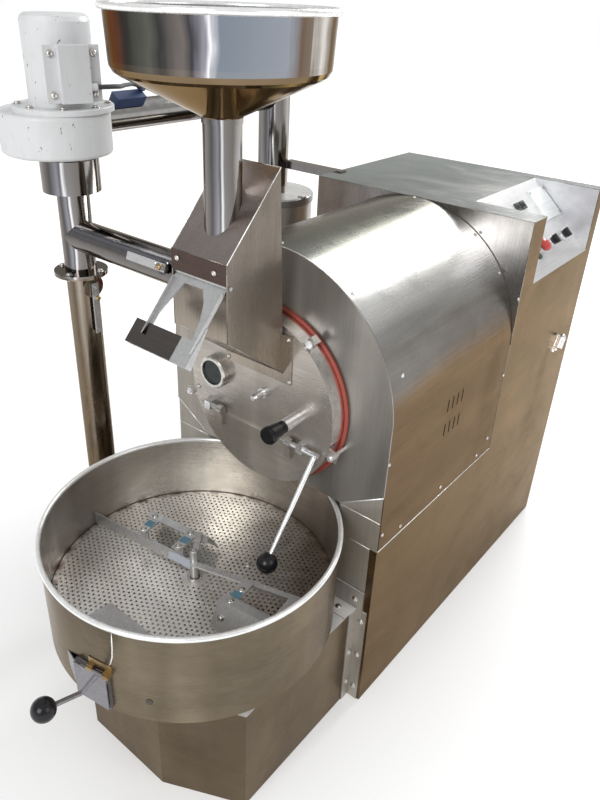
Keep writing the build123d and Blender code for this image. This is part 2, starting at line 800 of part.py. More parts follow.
# Cooling tub with rim bead, floor ledge, bottom ring, collar and gate opening
with BuildPart() as cooling_tub:
    lathe(
        tub_axis,
        [
            (collar_r - sheet, tray_top),
            (collar_r, tray_top),
            (collar_r, tub_low),
            (tub_r, tub_low),
            (tub_r, tub_rim),
            (tub_r - sheet, tub_rim),
            (tub_r - sheet, floor_low),
            (tub_r - 14, floor_low),
            (tub_r - 14, floor_low - sheet),
            (tub_r - sheet, floor_low - sheet),
            (tub_r - sheet, tub_low + sheet),
            (collar_r - sheet, tub_low + sheet),
        ],
    )
    with Locations((0, tub_y, tub_rim)):
        Torus(tub_r + 1, rim_bead)
    with Locations(gate):
        with Locations(((gate_left + gate_right) / 2, -tub_r, (gate_low + gate_high) / 2)):
            Box(gate_right - gate_left - 4, 30, gate_high - gate_low, mode=Mode.SUBTRACT)
keep(cooling_tub, "cooling_tub")

with BuildPart() as tub_floor:
    with Locations((0, tub_y, floor_low)):
        Cylinder(tub_r - sheet - slip, floor_top - floor_low, align=STAND)
        Cylinder(18, 8, align=STAND)
        Cylinder(stirrer_r + free, 40, align=STAND, mode=Mode.SUBTRACT)
keep(tub_floor, "tub_floor")

# Brass hinge leaf bent to the tub wall, with its fixed knuckles
knuckle = 14.0
with BuildPart() as gate_hinge:
    with Locations(gate):
        with Locations((hinge_u, -tub_r, 489)):
            Box(60, 30, 22)
        with Locations((0, 0, 400)):
            Cylinder(tub_r + 2, 200, align=STAND, mode=Mode.INTERSECT)
        for u in (hinge_u - 22, hinge_u + 22):
            with Locations((u, 1 - hinge_w, hinge_z + 4)):
                Box(15, 26, 12, align=(Align.CENTER, Align.MIN, Align.CENTER))
    for u in (hinge_u - 30, hinge_u + knuckle + 0.3):
        rod(on_plane(gate, u, -hinge_w, hinge_z), on_plane(gate, u + 15.7, -hinge_w, hinge_z), 4)
    rod(
        on_plane(gate, -90, -hinge_w, hinge_z),
        on_plane(gate, 120, -hinge_w, hinge_z),
        hinge_pin_r + run_fit,
        mode=Mode.SUBTRACT,
    )
    with Locations((0, tub_y, 400)):
        Cylinder(tub_r, 200, align=STAND, mode=Mode.SUBTRACT)
keep(gate_hinge, "gate_hinge")

# Gate flap: a flat plate hung on the middle knuckle, with the pin and the bent lever
lever_bend = (78.0, tub_front - 45.0, 455.0)
flap_back = mouth_w + 2
lever_root = on_plane(gate, hinge_u, 4 - flap_back, hinge_z - 2)
with BuildPart() as gate_flap:
    with Locations(gate):
        with Locations(((gate_left + gate_right) / 2, -flap_back, gate_foot)):
            Box(
                gate_right - gate_left,
                2.5,
                gate_high - 2 - gate_foot,
                align=(Align.CENTER, Align.MAX, Align.MIN),
            )
        with Locations((hinge_u, -flap_back, gate_high - 8)):
            Box(2 * knuckle, 3.5, 12, align=(Align.CENTER, Align.MAX, Align.MIN))
    rod(
        on_plane(gate, hinge_u - knuckle, -hinge_w, hinge_z),
        on_plane(gate, hinge_u + knuckle, -hinge_w, hinge_z),
        4,
    )
    rod(
        on_plane(gate, hinge_u - 30, -hinge_w, hinge_z),
        on_plane(gate, hinge_u + 30, -hinge_w, hinge_z),
        hinge_pin_r,
    )
    rod(lever_root, lever_bend, 5.5)
    rod(lever_bend, gate_ball_at, 5.5)
    with Locations(lever_bend):
        Sphere(5.5)
    with Locations(gate_ball_at):
        Sphere(ball_r - 6, mode=Mode.SUBTRACT)
    with Locations(gate):
        with Locations((0, -flap_back, 400)):
            Box(400, 60, 200, align=(Align.CENTER, Align.MIN, Align.CENTER), mode=Mode.SUBTRACT)
    rod(
        on_plane(gate, hinge_u - knuckle, -hinge_w, hinge_z),
        on_plane(gate, hinge_u + knuckle, -hinge_w, hinge_z),
        4,
    )
keep(gate_flap, "gate_flap")

with BuildPart() as gate_ball:
    with Locations(gate_ball_at):
        Sphere(ball_r)
    rod(lever_bend, gate_ball_at, 5.5, mode=Mode.SUBTRACT)
    with Locations(gate_ball_at):
        Sphere(ball_r - 6)
keep(gate_ball, "gate_ball")

# Spout: a flat mouth on the round wall with a steep ramp, and a wing on its left
with BuildPart() as discharge_spout:
    with Locations(gate):
        with Locations(((gate_left + gate_right) / 2, -mouth_w, gate_foot)):
            Box(
                gate_right - gate_left + 4,
                40,
                gate_high - 1 - gate_foot,
                align=(Align.CENTER, Align.MIN, Align.MIN),
            )
    spout_side = Plane(origin=on_plane(gate, gate_left, 0), x_dir=gate.y_dir, z_dir=gate.x_dir)
    prism(
        spout_side,
        [
            (-tub_r + 20, gate_low - 1),
            (-tub_r + 5, gate_low - 1),
            (-mouth_w, gate_foot + 8),
            (-mouth_w - 5, gate_foot + 8),
            (-mouth_w - 5, gate_high - 3),
            (-tub_r + 20, gate_high - 3),
        ],
        gate_right - gate_left,
        mode=Mode.SUBTRACT,
    )
    wing_edge = Vector(*on_plane(gate, gate_left - 1, -mouth_w))
    wing_root = Vector(*on_plane(gate, gate_left - 48, wing_depth - mouth_w))
    wing_run = wing_root - wing_edge
    wing = Plane(origin=wing_edge, x_dir=wing_run, z_dir=wing_run.cross(Vector(0, 0, 1)))
    prism(wing, [(0, gate_foot + 8), (38, 405), (52, 458), (0, gate_high - 5)], sheet)
    with Locations((0, tub_y, 300)):
        Cylinder(tub_r, 300, align=STAND, mode=Mode.SUBTRACT)
keep(discharge_spout, "discharge_spout")

# Tray base: folded walls with chamfered corners and a top plate
with BuildPart() as tray_base:
    prism(Plane.XY, tray_outline, tray_top)
    with BuildSketch(Plane.XY):
        with BuildLine():
            Polyline(*tray_outline, close=True)
        make_face()
        offset(amount=-sheet, kind=Kind.INTERSECTION)
        with Locations((0, -20)):
            Rectangle(2 * (tray_half - sheet), 60)
    extrude(amount=tray_top - sheet, mode=Mode.SUBTRACT)
    with Locations((0, tub_y, tray_top - 10)):
        Cylinder(stirrer_r + 2, 30, align=STAND, mode=Mode.SUBTRACT)
        with PolarLocations(collar_r - 85, 6, start_angle=30):
            Cylinder(62, 30, align=STAND, mode=Mode.SUBTRACT)
    rod((-tray_half - 5, stack_y, duct_z), (-tray_half + 5, stack_y, duct_z), pipe_bore, mode=Mode.SUBTRACT)
keep(tray_base, "tray_base")

# Angle irons that hold the tray base to the casing, and cleats on its top
with BuildPart() as corner_angles:
    for side in (-1, 1):
        edge = side * tray_half
        block((min(edge, edge + side * 33), -3, 0), (max(edge, edge + side * 33), 0, tray_top + 3))
        block((min(edge, edge + side * 3), -33, 0), (max(edge, edge + side * 3), 0, tray_top + 3))
        inside = edge - side * 70
        block((min(edge, inside), -50, tray_top), (max(edge, inside), 0, tray_top + 3))
        outside = edge + side * 20
        block((min(outside, inside), -3, tray_top), (max(outside, inside), 0, tray_top + 65))
    with Locations((0, tub_y, tray_top - 50)):
        Cylinder(tub_r + 1, 200, align=STAND, mode=Mode.SUBTRACT)
keep(corner_angles, "corner_angles")

# Stirrer: shaft with the scraper strip on its left, the bar on its right and an arm behind it
with BuildPart() as stirrer_shaft:
    rod((0, tub_y, 200), (0, tub_y, 522), stirrer_r)
    with Locations(stirrer):
        with Locations((8, 11.5, scraper_low)):
            Box(tub_r + 1, 4, 34, align=(Align.MAX, Align.CENTER, Align.MIN))
        with Locations(Location((0, 0, stirrer_bar + 3), (0, 0, 117))):
            Box(84, 14, 7, align=(Align.MIN, Align.CENTER, Align.MIN))
        with Locations(Location((0, 0, stirrer_bar - 4), (0, 0, 8.5))):
            with Locations((0, -12.3, 0)):
                Box(tub_r - 12, 15, 6, align=(Align.MIN, Align.CENTER, Align.MAX))
keep(stirrer_shaft, "stirrer_shaft")

# Two ploughs, each with its straps: the left one has lugs on the scraper, the right one lies on the bar
with BuildPart() as stirrer_paddles:
    for turn, inner, outer, straps in (
        (1, 8, 200, ((58, 0), (172, 0))),
        (-1, 131, tub_r - 28, ((157, -12), (275, -30))),
    ):
        with Locations(stirrer):
            with Locations((turn * -(inner + outer) / 2, turn * 66, stirrer_bar)):
                Box(outer - inner, 24, 3, align=STAND)
            for along, strap_end in straps:
                with Locations((turn * -along, turn * (78 + strap_end) / 2, stirrer_bar)):
                    Box(26, 78 - strap_end, 4, align=(Align.CENTER, Align.CENTER, Align.MAX))
                if turn == 1:
                    with Locations((-along, 15.5, plough_low)):
                        Box(26, 4, stirrer_bar - plough_low, align=STAND)
        plough_side = Plane(
            origin=on_plane(stirrer, turn * -inner, 0), x_dir=stirrer.y_dir * turn, z_dir=stirrer.x_dir * turn
        )
        prism(
            plough_side,
            [
                (75, stirrer_bar),
                (77, stirrer_bar + 3),
                (78, stirrer_bar + 3),
                (113.5, plough_low),
                (110.5, plough_low),
            ],
            inner - outer,
        )
keep(stirrer_paddles, "stirrer_paddles")

# Smoke tee below the blower, with its flange, its stub and the sleeve
with BuildPart() as stack_tee:
    lathe(
        stack_axis,
        [
            (0, duct_flange_z),
            (65, duct_flange_z),
            (65, duct_flange_z + plate),
            (pipe_r, duct_flange_z + plate),
            (pipe_r, sleeve_low),
            (sleeve_r, sleeve_low),
            (sleeve_r, sleeve_high),
            (62, sleeve_high),
            (62, volute_low),
            (0, volute_low),
        ],
    )
    rod((stack_x, stack_y, branch_z), (tee_seam, stack_y, branch_z), pipe_r)
    rod((stack_x, stack_y, branch_z), (tee_seam + 1, stack_y, branch_z), pipe_bore, mode=Mode.SUBTRACT)
    lathe(
        stack_axis,
        [
            (0, duct_flange_z - 1),
            (pipe_bore, duct_flange_z - 1),
            (pipe_bore, sleeve_low + sheet),
            (sleeve_r - sheet, sleeve_low + sheet),
            (sleeve_r - sheet, sleeve_high - sheet),
            (60, sleeve_high - sheet),
            (60, volute_low + 1),
            (0, volute_low + 1),
        ],
        mode=Mode.SUBTRACT,
    )
keep(stack_tee, "stack_tee")

# Cooling-air duct from the tray base to the tee: an elbow, three lengths of riser and a top with a quadrant
elbow_top = duct_z + elbow_r
riser_top = damper_stack_z - 12
riser_count = 3
riser_length = (riser_top - elbow_top) / riser_count
with BuildPart() as cooling_duct:
    with BuildLine():
        ThreePointArc(
            (stack_x, stack_y, elbow_top),
            (stack_x + elbow_r * (1 - cos(radians(45))), stack_y, duct_z + elbow_r * (1 - sin(radians(45)))),
            (stack_x + elbow_r, stack_y, duct_z),
        )
        Line((stack_x + elbow_r, stack_y, duct_z), (-tray_half, stack_y, duct_z))
    with BuildSketch(Plane(origin=(stack_x, stack_y, elbow_top), z_dir=(0, 0, -1))):
        Circle(pipe_r)
        Circle(pipe_bore, mode=Mode.SUBTRACT)
    sweep()
    for index in range(riser_count):
        riser_foot = elbow_top + index * riser_length
        ring(
            (stack_x, stack_y, riser_foot + weld_gap),
            (stack_x, stack_y, riser_foot + riser_length),
            pipe_r,
            pipe_bore,
        )
    ring((stack_x, stack_y, riser_top + weld_gap), (stack_x, stack_y, duct_flange_z), pipe_r, pipe_bore)
    ring((stack_x, stack_y, duct_flange_z - plate), (stack_x, stack_y, duct_flange_z), 65, pipe_bore)
    rod((stack_x + pipe_bore + 0.5, stack_y, damper_stack_z), (-421, stack_y, damper_stack_z), 11)
    rod((-425, stack_y, damper_stack_z), (-421, stack_y, damper_stack_z), 28)
    rod(
        (stack_x - 60, stack_y, damper_stack_z),
        (-400, stack_y, damper_stack_z),
        damper_shaft_r + run_fit,
        mode=Mode.SUBTRACT,
    )
keep(cooling_duct, "cooling_duct")

blade_r = pipe_bore - free
with BuildPart() as damper_stack:
    with Locations((stack_x, stack_y, damper_stack_z)):
        Cylinder(blade_r, 2)
    rod((stack_x - pipe_r - 6, stack_y, damper_stack_z), (-408, stack_y, damper_stack_z), damper_shaft_r)
    block((-419, stack_y - 9, 944), (-415, stack_y + 9, damper_stack_z + 10))
    rod((-415, stack_y, 1039), (-409, stack_y, 1039), 7)
keep(damper_stack, "damper_stack")

# Branch pipe from the tee to the chute, with the branch damper's quadrant
branch_at = Vector(damper_branch_x, stack_y, branch_z)
branch_dir = Vector(*branch_tilt)
with BuildPart() as branch_pipe:
    rod((tee_seam, stack_y, branch_z), (-chute_half, stack_y, branch_z), pipe_r)
    rod(branch_at + branch_dir * (pipe_bore + 0.5), branch_at + branch_dir * 45, 10)
    rod(branch_at + branch_dir * 42, branch_at + branch_dir * 45, 15)
    rod((tee_seam, stack_y, branch_z), (-chute_half, stack_y, branch_z), pipe_bore, mode=Mode.SUBTRACT)
    rod(
        branch_at - branch_dir * 60,
        branch_at + branch_dir * 60,
        damper_shaft_r + run_fit,
        mode=Mode.SUBTRACT,
    )
keep(branch_pipe, "branch_pipe")

branch_lever = Plane(origin=branch_at, x_dir=(1, 0, 0), z_dir=branch_tilt)
with BuildPart() as damper_branch:
    rod((damper_branch_x - 1, stack_y, branch_z), (damper_branch_x + 1, stack_y, branch_z), blade_r)
    rod(branch_at - branch_dir * (pipe_r + 6), branch_at + branch_dir * 56, damper_shaft_r)
    with Locations(branch_lever):
        with Locations((-50, 0, 46)):
            Box(122, 18, 4, align=STAND)
        with Locations((-18, 0, 50)):
            Cylinder(7, 6, align=STAND)
keep(damper_branch, "damper_branch")

# Blower scroll: three growing quarter arcs, a straight outlet and the tongue
with BuildPart() as blower_housing:
    with BuildSketch(Plane(origin=(stack_x, stack_y, volute_low))) as scroll:
        with BuildLine():
            first = JernArc((0, 100), (1, 0), 108, -90)
            second = JernArc(first @ 1, (0, -1), 126, -90)
            third = JernArc(second @ 1, (-1, 0), 144, -90)
            Polyline(third @ 1, (-162, 140), (-84, 140), (-76, 118))
            ThreePointArc((-76, 118), (-42, 104), (0, 100))
        make_face()
    extrude(amount=volute_high - volute_low)
    fillet(blower_housing.edges().group_by(Axis.Z)[-1], 8)
    fillet(blower_housing.edges().group_by(Axis.Z)[0], 8)
    with BuildSketch(Plane(origin=(stack_x, stack_y, volute_low + volute_skin))):
        add(scroll.sketch.moved(Location((-stack_x, -stack_y, -volute_low))))
        offset(amount=-volute_skin)
    extrude(amount=volute_high - volute_low - 2 * volute_skin, mode=Mode.SUBTRACT)
    with Locations(stack_base):
        with Locations((0, 0, volute_low - 5)):
            Cylinder(60, 20, align=STAND, mode=Mode.SUBTRACT)
        with Locations((0, 0, volute_high - 10)):
            Cylinder(20, 20, align=STAND, mode=Mode.SUBTRACT)
    rod(
        (outlet_x, outlet_front - 20, outlet_z),
        (outlet_x, outlet_front + 20, outlet_z),
        pipe_bore,
        mode=Mode.SUBTRACT,
    )
keep(blower_housing, "blower_housing")

# Blower motor with its foot flange and terminal box
motor_low = volute_high + motor_flange
box_mid = 1556.0
with BuildPart() as blower_motor:
    lathe(
        stack_axis,
        [
            (0, volute_high),
            (111, volute_high),
            (111, motor_low - 2),
            (109, motor_low),
            (motor_r, motor_low),
            (motor_r, motor_top - 14),
            (motor_r - 4, motor_top - 5),
            (motor_r - 12, motor_top),
            (0, motor_top),
        ],
    )
    with Locations(box_face):
        with Locations((0, box_mid, 0)):
            Box(96, 96, 88, align=STAND)
        with Locations((0, box_mid, 86)):
            Box(118, 112, 5, align=STAND)
        with Locations((0, box_mid, 90)):
            Box(64, 112, 17, align=STAND)
    rod(on_plane(box_face, 20, box_mid - 26, 98), on_plane(box_face, 46, box_mid - 26, 98), 8)
    with Locations(stack_base):
        with Locations((0, 0, volute_high - 5)):
            Cylinder(fan_shaft_r + run_fit, 50, align=STAND, mode=Mode.SUBTRACT)
keep(blower_motor, "blower_motor")

with BuildPart() as impeller:
    with Locations(stack_base):
        with Locations((0, 0, volute_low + 8)):
            Cylinder(86, 3, align=STAND)
            Cylinder(55, 10, align=STAND, mode=Mode.SUBTRACT)
        with Locations((0, 0, volute_high - 11)):
            Cylinder(86, 4, align=STAND)
        with Locations((0, 0, volute_high - 46)):
            Cylinder(20, 39, align=STAND)
        with Locations((0, 0, volute_high - 20)):
            Cylinder(fan_shaft_r, 60, align=STAND)
        with PolarLocations(70, 10):
            with Locations(Location((0, 0, volute_low + 9), (0, 0, 35))):
                Box(34, 2.5, volute_high - volute_low - 18, align=STAND)
keep(impeller, "impeller")

# Outlet pipe to the cyclone riser, with the bar that ties the riser to the cabinet top
riser_top = outlet_z + 41
riser_low = cyclone_top - 60
with BuildPart() as outlet_pipe:
    rod((outlet_x, outlet_front, outlet_z), (outlet_x, cyclone_y, outlet_z), pipe_r)
    rod((outlet_x, cyclone_y, riser_low), (outlet_x, cyclone_y, riser_top), riser_r)
    rod((outlet_x, outlet_front, outlet_z), (outlet_x, cyclone_y, outlet_z), pipe_bore, mode=Mode.SUBTRACT)
    bar_start = outlet_x + riser_r - 4
    block((bar_start, 690, cabinet_top_z), (-320, 720, cabinet_top_z + 3))
    block((bar_start, 690, cabinet_top_z - 22), (-half_width - 3, 693, cabinet_top_z + 3))
    rod(
        (outlet_x, cyclone_y, riser_low),
        (outlet_x, cyclone_y, riser_top - sheet),
        riser_r - sheet,
        mode=Mode.SUBTRACT,
    )
keep(outlet_pipe, "outlet_pipe")

with BuildPart() as cyclone_body:
    lathe(
        cyclone_axis,
        [
            (cyclone_r - sheet, cyclone_top),
            (cyclone_r, cyclone_top),
            (cyclone_r, cyclone_top - 480),
            (62, 338),
            (62, 322),
            (60, 322),
            (60, 338.5),
            (cyclone_r - sheet, cyclone_top - 479.5),
        ],
    )
keep(cyclone_body, "cyclone_body")

with BuildPart() as cyclone_lid:
    lathe(
        cyclone_axis,
        [
            (riser_r, cyclone_top),
            (cyclone_r, cyclone_top),
            (cyclone_r, cyclone_top - 20),
            (cyclone_r + 3.5, cyclone_top - 20),
            (cyclone_r + 3.5, cyclone_top + 1),
            (cyclone_r, cyclone_top + plate),
            (riser_r, cyclone_top + plate),
        ],
    )
    block((outlet_x + 118, cyclone_y - 8, cyclone_top + 3), (outlet_x + 142, cyclone_y + 8, cyclone_top + 9))
keep(cyclone_lid, "cyclone_lid")

with BuildPart() as chaff_bin:
    lathe(
        cyclone_axis,
        [(0, 0), (140, 0), (140, 325), (62, 325), (62, 322), (138, 322), (138, 3), (0, 3)],
    )
keep(chaff_bin, "chaff_bin")

# Motor lead in conduit from the terminal box to the connector on the outlet pipe
plug = Plane(origin=(outlet_x, 66, outlet_z), x_dir=(0, 1, 0), z_dir=(cos(radians(56)), 0, sin(radians(56))))
lead_end = Vector(*on_plane(plug, 30, 6, 82))
lead_points = [
    on_plane(box_face, 46, box_mid - 26, 98),
    on_plane(box_face, 88, box_mid - 26, 98),
    (-374.0, -104.0, 1525.0),
    (-420.0, -60.0, 1519.0),
    (-470.0, -15.0, 1513.0),
    (-514.0, 34.0, 1507.0),
    tuple(lead_end + Vector(18, -32, 10)),
    tuple(lead_end),
]
lead_runs = [(Vector(*b) - Vector(*a)).normalized() for a, b in zip(lead_points, lead_points[1:])]
with BuildPart() as motor_lead:
    with BuildLine():
        FilletPolyline(*lead_points, radius=38)
    with BuildSketch(Plane(origin=lead_points[0], z_dir=lead_runs[0])):
        Circle(lead_r)
    sweep(transition=Transition.ROUND)
keep(motor_lead, "motor_lead")

with BuildPart() as lead_connector:
    with Locations(plug):
        with Locations((0, 0, pipe_r)):
            Box(92, 30, 28, align=STAND)
    rod(tuple(lead_end), tuple(lead_end + lead_runs[-1] * 26), 8)
    rod((outlet_x, -60, outlet_z), (outlet_x, 300, outlet_z), pipe_r, mode=Mode.SUBTRACT)
keep(lead_connector, "lead_connector")
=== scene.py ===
import math

import bmesh
import bpy
from bpy.props import FloatProperty, FloatVectorProperty, PointerProperty
from mathutils import Matrix, Vector


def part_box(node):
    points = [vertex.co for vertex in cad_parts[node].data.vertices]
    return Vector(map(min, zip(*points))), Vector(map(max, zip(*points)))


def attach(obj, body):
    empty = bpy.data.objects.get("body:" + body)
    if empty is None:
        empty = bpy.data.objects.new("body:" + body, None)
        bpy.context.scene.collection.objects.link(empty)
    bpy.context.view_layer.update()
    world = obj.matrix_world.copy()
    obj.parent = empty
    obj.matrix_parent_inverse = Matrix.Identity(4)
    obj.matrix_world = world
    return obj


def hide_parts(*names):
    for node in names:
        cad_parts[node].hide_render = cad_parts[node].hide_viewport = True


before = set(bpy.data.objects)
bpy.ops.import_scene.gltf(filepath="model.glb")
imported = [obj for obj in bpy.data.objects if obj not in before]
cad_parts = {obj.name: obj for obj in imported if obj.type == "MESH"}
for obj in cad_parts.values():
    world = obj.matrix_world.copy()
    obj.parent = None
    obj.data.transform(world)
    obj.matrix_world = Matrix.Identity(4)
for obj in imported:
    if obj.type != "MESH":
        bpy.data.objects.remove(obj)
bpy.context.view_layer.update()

bl_info = {
    "name": "Coffee Roaster Finisher",
    "version": (1, 1, 0),
    "blender": (4, 5, 0),
    "location": "3D View > Sidebar > Roaster",
    "description": "Finishes, fasteners and stage of a drum coffee roaster",
    "category": "Object",
}

PHOTO_WIDTH = 600
PHOTO_HEIGHT = 800

# Places in metres that several pieces share, most of them taken from the frame
SIDE_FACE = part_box("side_panel_right")[1].x
CABINET_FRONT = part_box("cabinet_top")[0].y
CABINET_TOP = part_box("cabinet_top")[1].z
SHROUD_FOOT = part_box("drum_shroud")[0].z
ARCH_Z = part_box("drum_shroud")[1].z - SIDE_FACE
CAP_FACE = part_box("front_cap")[0].y
TRAY_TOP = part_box("tray_base")[1].z
TUB_R = 0.350
TUB_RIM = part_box("cooling_tub")[1].z
RIM_BEAD = 0.0055
RIM_BAND = 0.0108
TUB_CENTRE = Vector((0.0, (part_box("cooling_tub")[0].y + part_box("cooling_tub")[1].y) / 2, 0.0))
FLOOR_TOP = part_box("tub_floor")[0].z + 0.003
CHUTE_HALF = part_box("chute_box")[1].x - 0.0245
CHUTE_SIDE_MM = [(-84, 1420), (-238, 1258), (-238, 1090), (-55.5, 953)]
LIP_FACE = -0.2395
STACK = Vector((-0.467, -0.192, 0.0))
MOTOR_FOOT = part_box("blower_motor")[0].z
BOX_TURN = math.radians(-17.0)
STIRRER = Matrix.Translation(TUB_CENTRE) @ Matrix.Rotation(math.radians(8.0), 4, "Z")
FLAP = Matrix.Translation(Vector((0.0, -0.229, 1.208))) @ Matrix.Rotation(math.radians(47.0), 4, "X")
PANEL_MID = Vector((0.2425, 0.895, 1.132))
# Where each lamp stands, what it points at and its width
LAMPS = {
    "key": ((0.9, -4.2, 3.4), (0.0, 0.0, 0.6), 2.6),
    "rear": ((-0.2, 3.6, 3.4), (0.0, 0.2, 0.9), 2.0),
    "fill": ((3.8, 0.4, 2.6), (0.0, 0.2, 0.7), 2.4),
}
# The lead's control points from the terminal box to the connector
LEAD_ROUTE = [
    (-0.3598, -0.1767, 1.5300),
    (-0.3476, -0.1365, 1.5300),
    (-0.3740, -0.1040, 1.5250),
    (-0.4200, -0.0600, 1.5190),
    (-0.4700, -0.0150, 1.5130),
    (-0.5140, 0.0340, 1.5070),
    (-0.5311, 0.0640, 1.5053),
    (-0.5491, 0.0960, 1.4953),
]


def mm(*values):
    """A place given in millimetres."""
    return Vector(values) / 1000.0


# Properties that a user would change


def colour(name, description, default):
    """A colour property in linear light."""
    return FloatVectorProperty(
        name=name, description=description, default=default, subtype="COLOR", size=3, min=0.0, max=1.0
    )


def amount(name, description, default, **kind):
    """A number property."""
    return FloatProperty(name=name, description=description, default=default, **kind)


def length(name, description, default):
    """A length property in metres."""
    return amount(name, description, default, min=0.0, unit="LENGTH")


class RoasterFinishes(bpy.types.PropertyGroup):
    """Colours of the roaster's finishes"""

    # Painted reflection: the side, tub and tray sheets are darker, browner copies of the one stainless steel,
    # and the front, cap and tub inside are lighter, greyer copies
    side: colour("Side sheet", "Upright brushed sheet of the casing's sides", (0.172, 0.123, 0.080))
    front: colour("Front sheet", "Upright brushed sheet of the casing's front", (0.46, 0.435, 0.40))
    cap: colour("Cap sheet", "Front cap and discharge door", (0.46, 0.43, 0.395))
    tub: colour("Tub sheet", "Outside of the cooling tub", (0.168, 0.140, 0.103))
    tub_inside: colour("Tub inside", "Inside of the cooling tub", (0.66, 0.63, 0.59))
    tray: colour("Tray sheet", "Upright sheet of the tray", (0.140, 0.110, 0.076))
    # Painted light: the sloping and flat tones are lighter and darker copies of the sheet for the way it
    # faces
    slope: colour("Sloping sheet", "Sheet that leans back", (0.25, 0.24, 0.23))
    flat: colour("Flat sheet", "Sheet that faces up", (0.74, 0.74, 0.73))
    cabinet: colour("Cabinet top", "Top of the cabinet", (0.14, 0.172, 0.145))
    floor: colour("Tub floor", "Perforated floor of the tub", (0.84, 0.82, 0.79))
    # Painted highlight: the bright beads along folds and bends stand in for their highlight, and the bright
    # rims are part polish, part painted highlight
    bright: colour("Bright edge", "Rubbed rims, folds and bends", (0.92, 0.92, 0.91))
    zinc: colour("Zinc", "Flap arms, ploughs and gate plate", (0.56, 0.56, 0.56))
    paint: colour("White paint", "Blower and its motor", (0.66, 0.67, 0.68))
    silicone: colour("Silicone", "Cord seal round the cap", (0.34, 0.062, 0.040))
    phenolic: colour("Phenolic", "Ball knobs and tryer grip", (0.010, 0.010, 0.012))
    brass: colour("Brass", "Gate hinge and pins", (0.40, 0.29, 0.15))
    chrome: colour("Chrome", "Rods, glands and bezels", (0.86, 0.86, 0.87))
    iron: colour("Iron", "Hidden frame, drum and burner", (0.16, 0.15, 0.14))
    film: colour("Blue film", "Pads on the stirrer's straps", (0.085, 0.185, 0.235))


class RoasterSizes(bpy.types.PropertyGroup):
    """Sizes of the details that are added to the roaster"""

    screw_radius: length("Screw head", "Radius of a panel screw's head", 0.0048)
    bolt_radius: length("Bolt head", "Radius across the corners of a hexagon bolt", 0.0060)
    hole_pitch: length("Hole pitch", "Distance between holes of the tub floor", 0.0134)
    hole_radius: length("Hole radius", "Radius of a hole of the tub floor", 0.0031)
    floor_radius: length("Floor radius", "Radius of the tub floor", 0.3476)
    # Painted highlight: the radius of the beads that stand in for the highlight along the sheet's folds
    highlight_radius: length("Fold", "Radius of a rubbed fold of the sheet", 0.0012)
    weld_radius: length("Weld bead", "Half the width of a weld bead", 0.0017)
    lead_radius: length("Motor lead", "Radius of the motor's lead", 0.005)


class RoasterStage(bpy.types.PropertyGroup):
    """Camera, floor and lamps"""

    floor: colour("Floor", "Pale studio floor", (0.86, 0.86, 0.855))
    glow: amount("Near glow", "How far the floor near by is lifted to white", 0.16)
    far_glow: amount("Far glow", "How far the floor far off is lifted to white", 0.60)
    key: amount("Key lamp", "Power of the large front lamp", 115.0, unit="POWER")
    rear: amount("Rear lamp", "Power of the soft lamp behind", 120.0, unit="POWER")
    fill: amount("Fill lamp", "Power of the side lamp", 30.0, unit="POWER")
    world: amount("Sky", "Strength of the even light", 0.72)
    azimuth: amount("Azimuth", "Camera's turn about the roaster", math.radians(38.967), subtype="ANGLE")
    elevation: amount("Elevation", "Camera's height angle", math.radians(28.812), subtype="ANGLE")
    roll: amount("Roll", "Camera's tilt", math.radians(2.037), subtype="ANGLE")
    eye: FloatVectorProperty(
        name="Eye", description="Where the camera stands", default=(0.9863, -1.1825, 1.72855), unit="LENGTH"
    )
    focal_pixels: amount("Focal length", "In pixels of the photo's frame", 716.18)
    centre: FloatVectorProperty(
        name="Centre", description="Principal point in the photo's frame", default=(281.53, 381.26), size=2
    )


# Node helpers


def new_material(name):
    """An empty node material with its principled shader."""
    made = bpy.data.materials.new(name)
    made.use_nodes = True
    shader = made.node_tree.nodes["Principled BSDF"]
    return made, made.node_tree, shader


def feed(tree, socket, value):
    """Links or sets one socket."""
    if isinstance(value, bpy.types.NodeSocket):
        tree.links.new(value, socket)
    elif socket.type == "RGBA":
        socket.default_value = (*value, 1.0)
    else:
        socket.default_value = value


def add(tree, kind, options=None, **sockets):
    """A shader node with its options set and its sockets set or linked."""
    made = tree.nodes.new("ShaderNode" + kind)
    for option, value in (options or {}).items():
        setattr(made, option, value)
    for label, value in sockets.items():
        socket = next(s for s in made.inputs if s.enabled and s.name.lower().replace(" ", "_") == label)
        feed(tree, socket, value)
    return made


def noise(tree, place, scale, detail=3.0, roughness=0.55, distortion=0.0):
    """A noise value at a place; scale is per metre."""
    return add(
        tree, "TexNoise", vector=place, scale=scale, detail=detail, roughness=roughness, distortion=distortion
    ).outputs["Fac"]


def stretched(tree, place, scale, shift=(0.0, 0.0, 0.0)):
    """Coordinates that are stretched along the axes with the small scale."""
    return add(tree, "Mapping", vector=place, scale=scale, location=shift).outputs["Vector"]


def ramp(tree, value, low, high, to_low=0.0, to_high=1.0):
    """A value mapped from low..high to another range, held at its ends."""
    return add(
        tree, "MapRange", value=value, from_min=low, from_max=high, to_min=to_low, to_max=to_high
    ).outputs["Result"]


def sums(tree, operation, first, second):
    """A math node of two values."""
    made = tree.nodes.new("ShaderNodeMath")
    made.operation = operation
    feed(tree, made.inputs[0], first)
    feed(tree, made.inputs[1], second)
    return made.outputs["Value"]


def blend(tree, factor, first, second, kind="MIX"):
    """Two colours mixed by a factor."""
    made = tree.nodes.new("ShaderNodeMix")
    made.data_type = "RGBA"
    made.blend_type = kind
    for number, value in ((0, factor), (6, first), (7, second)):
        feed(tree, made.inputs[number], value)
    return made.outputs[2]


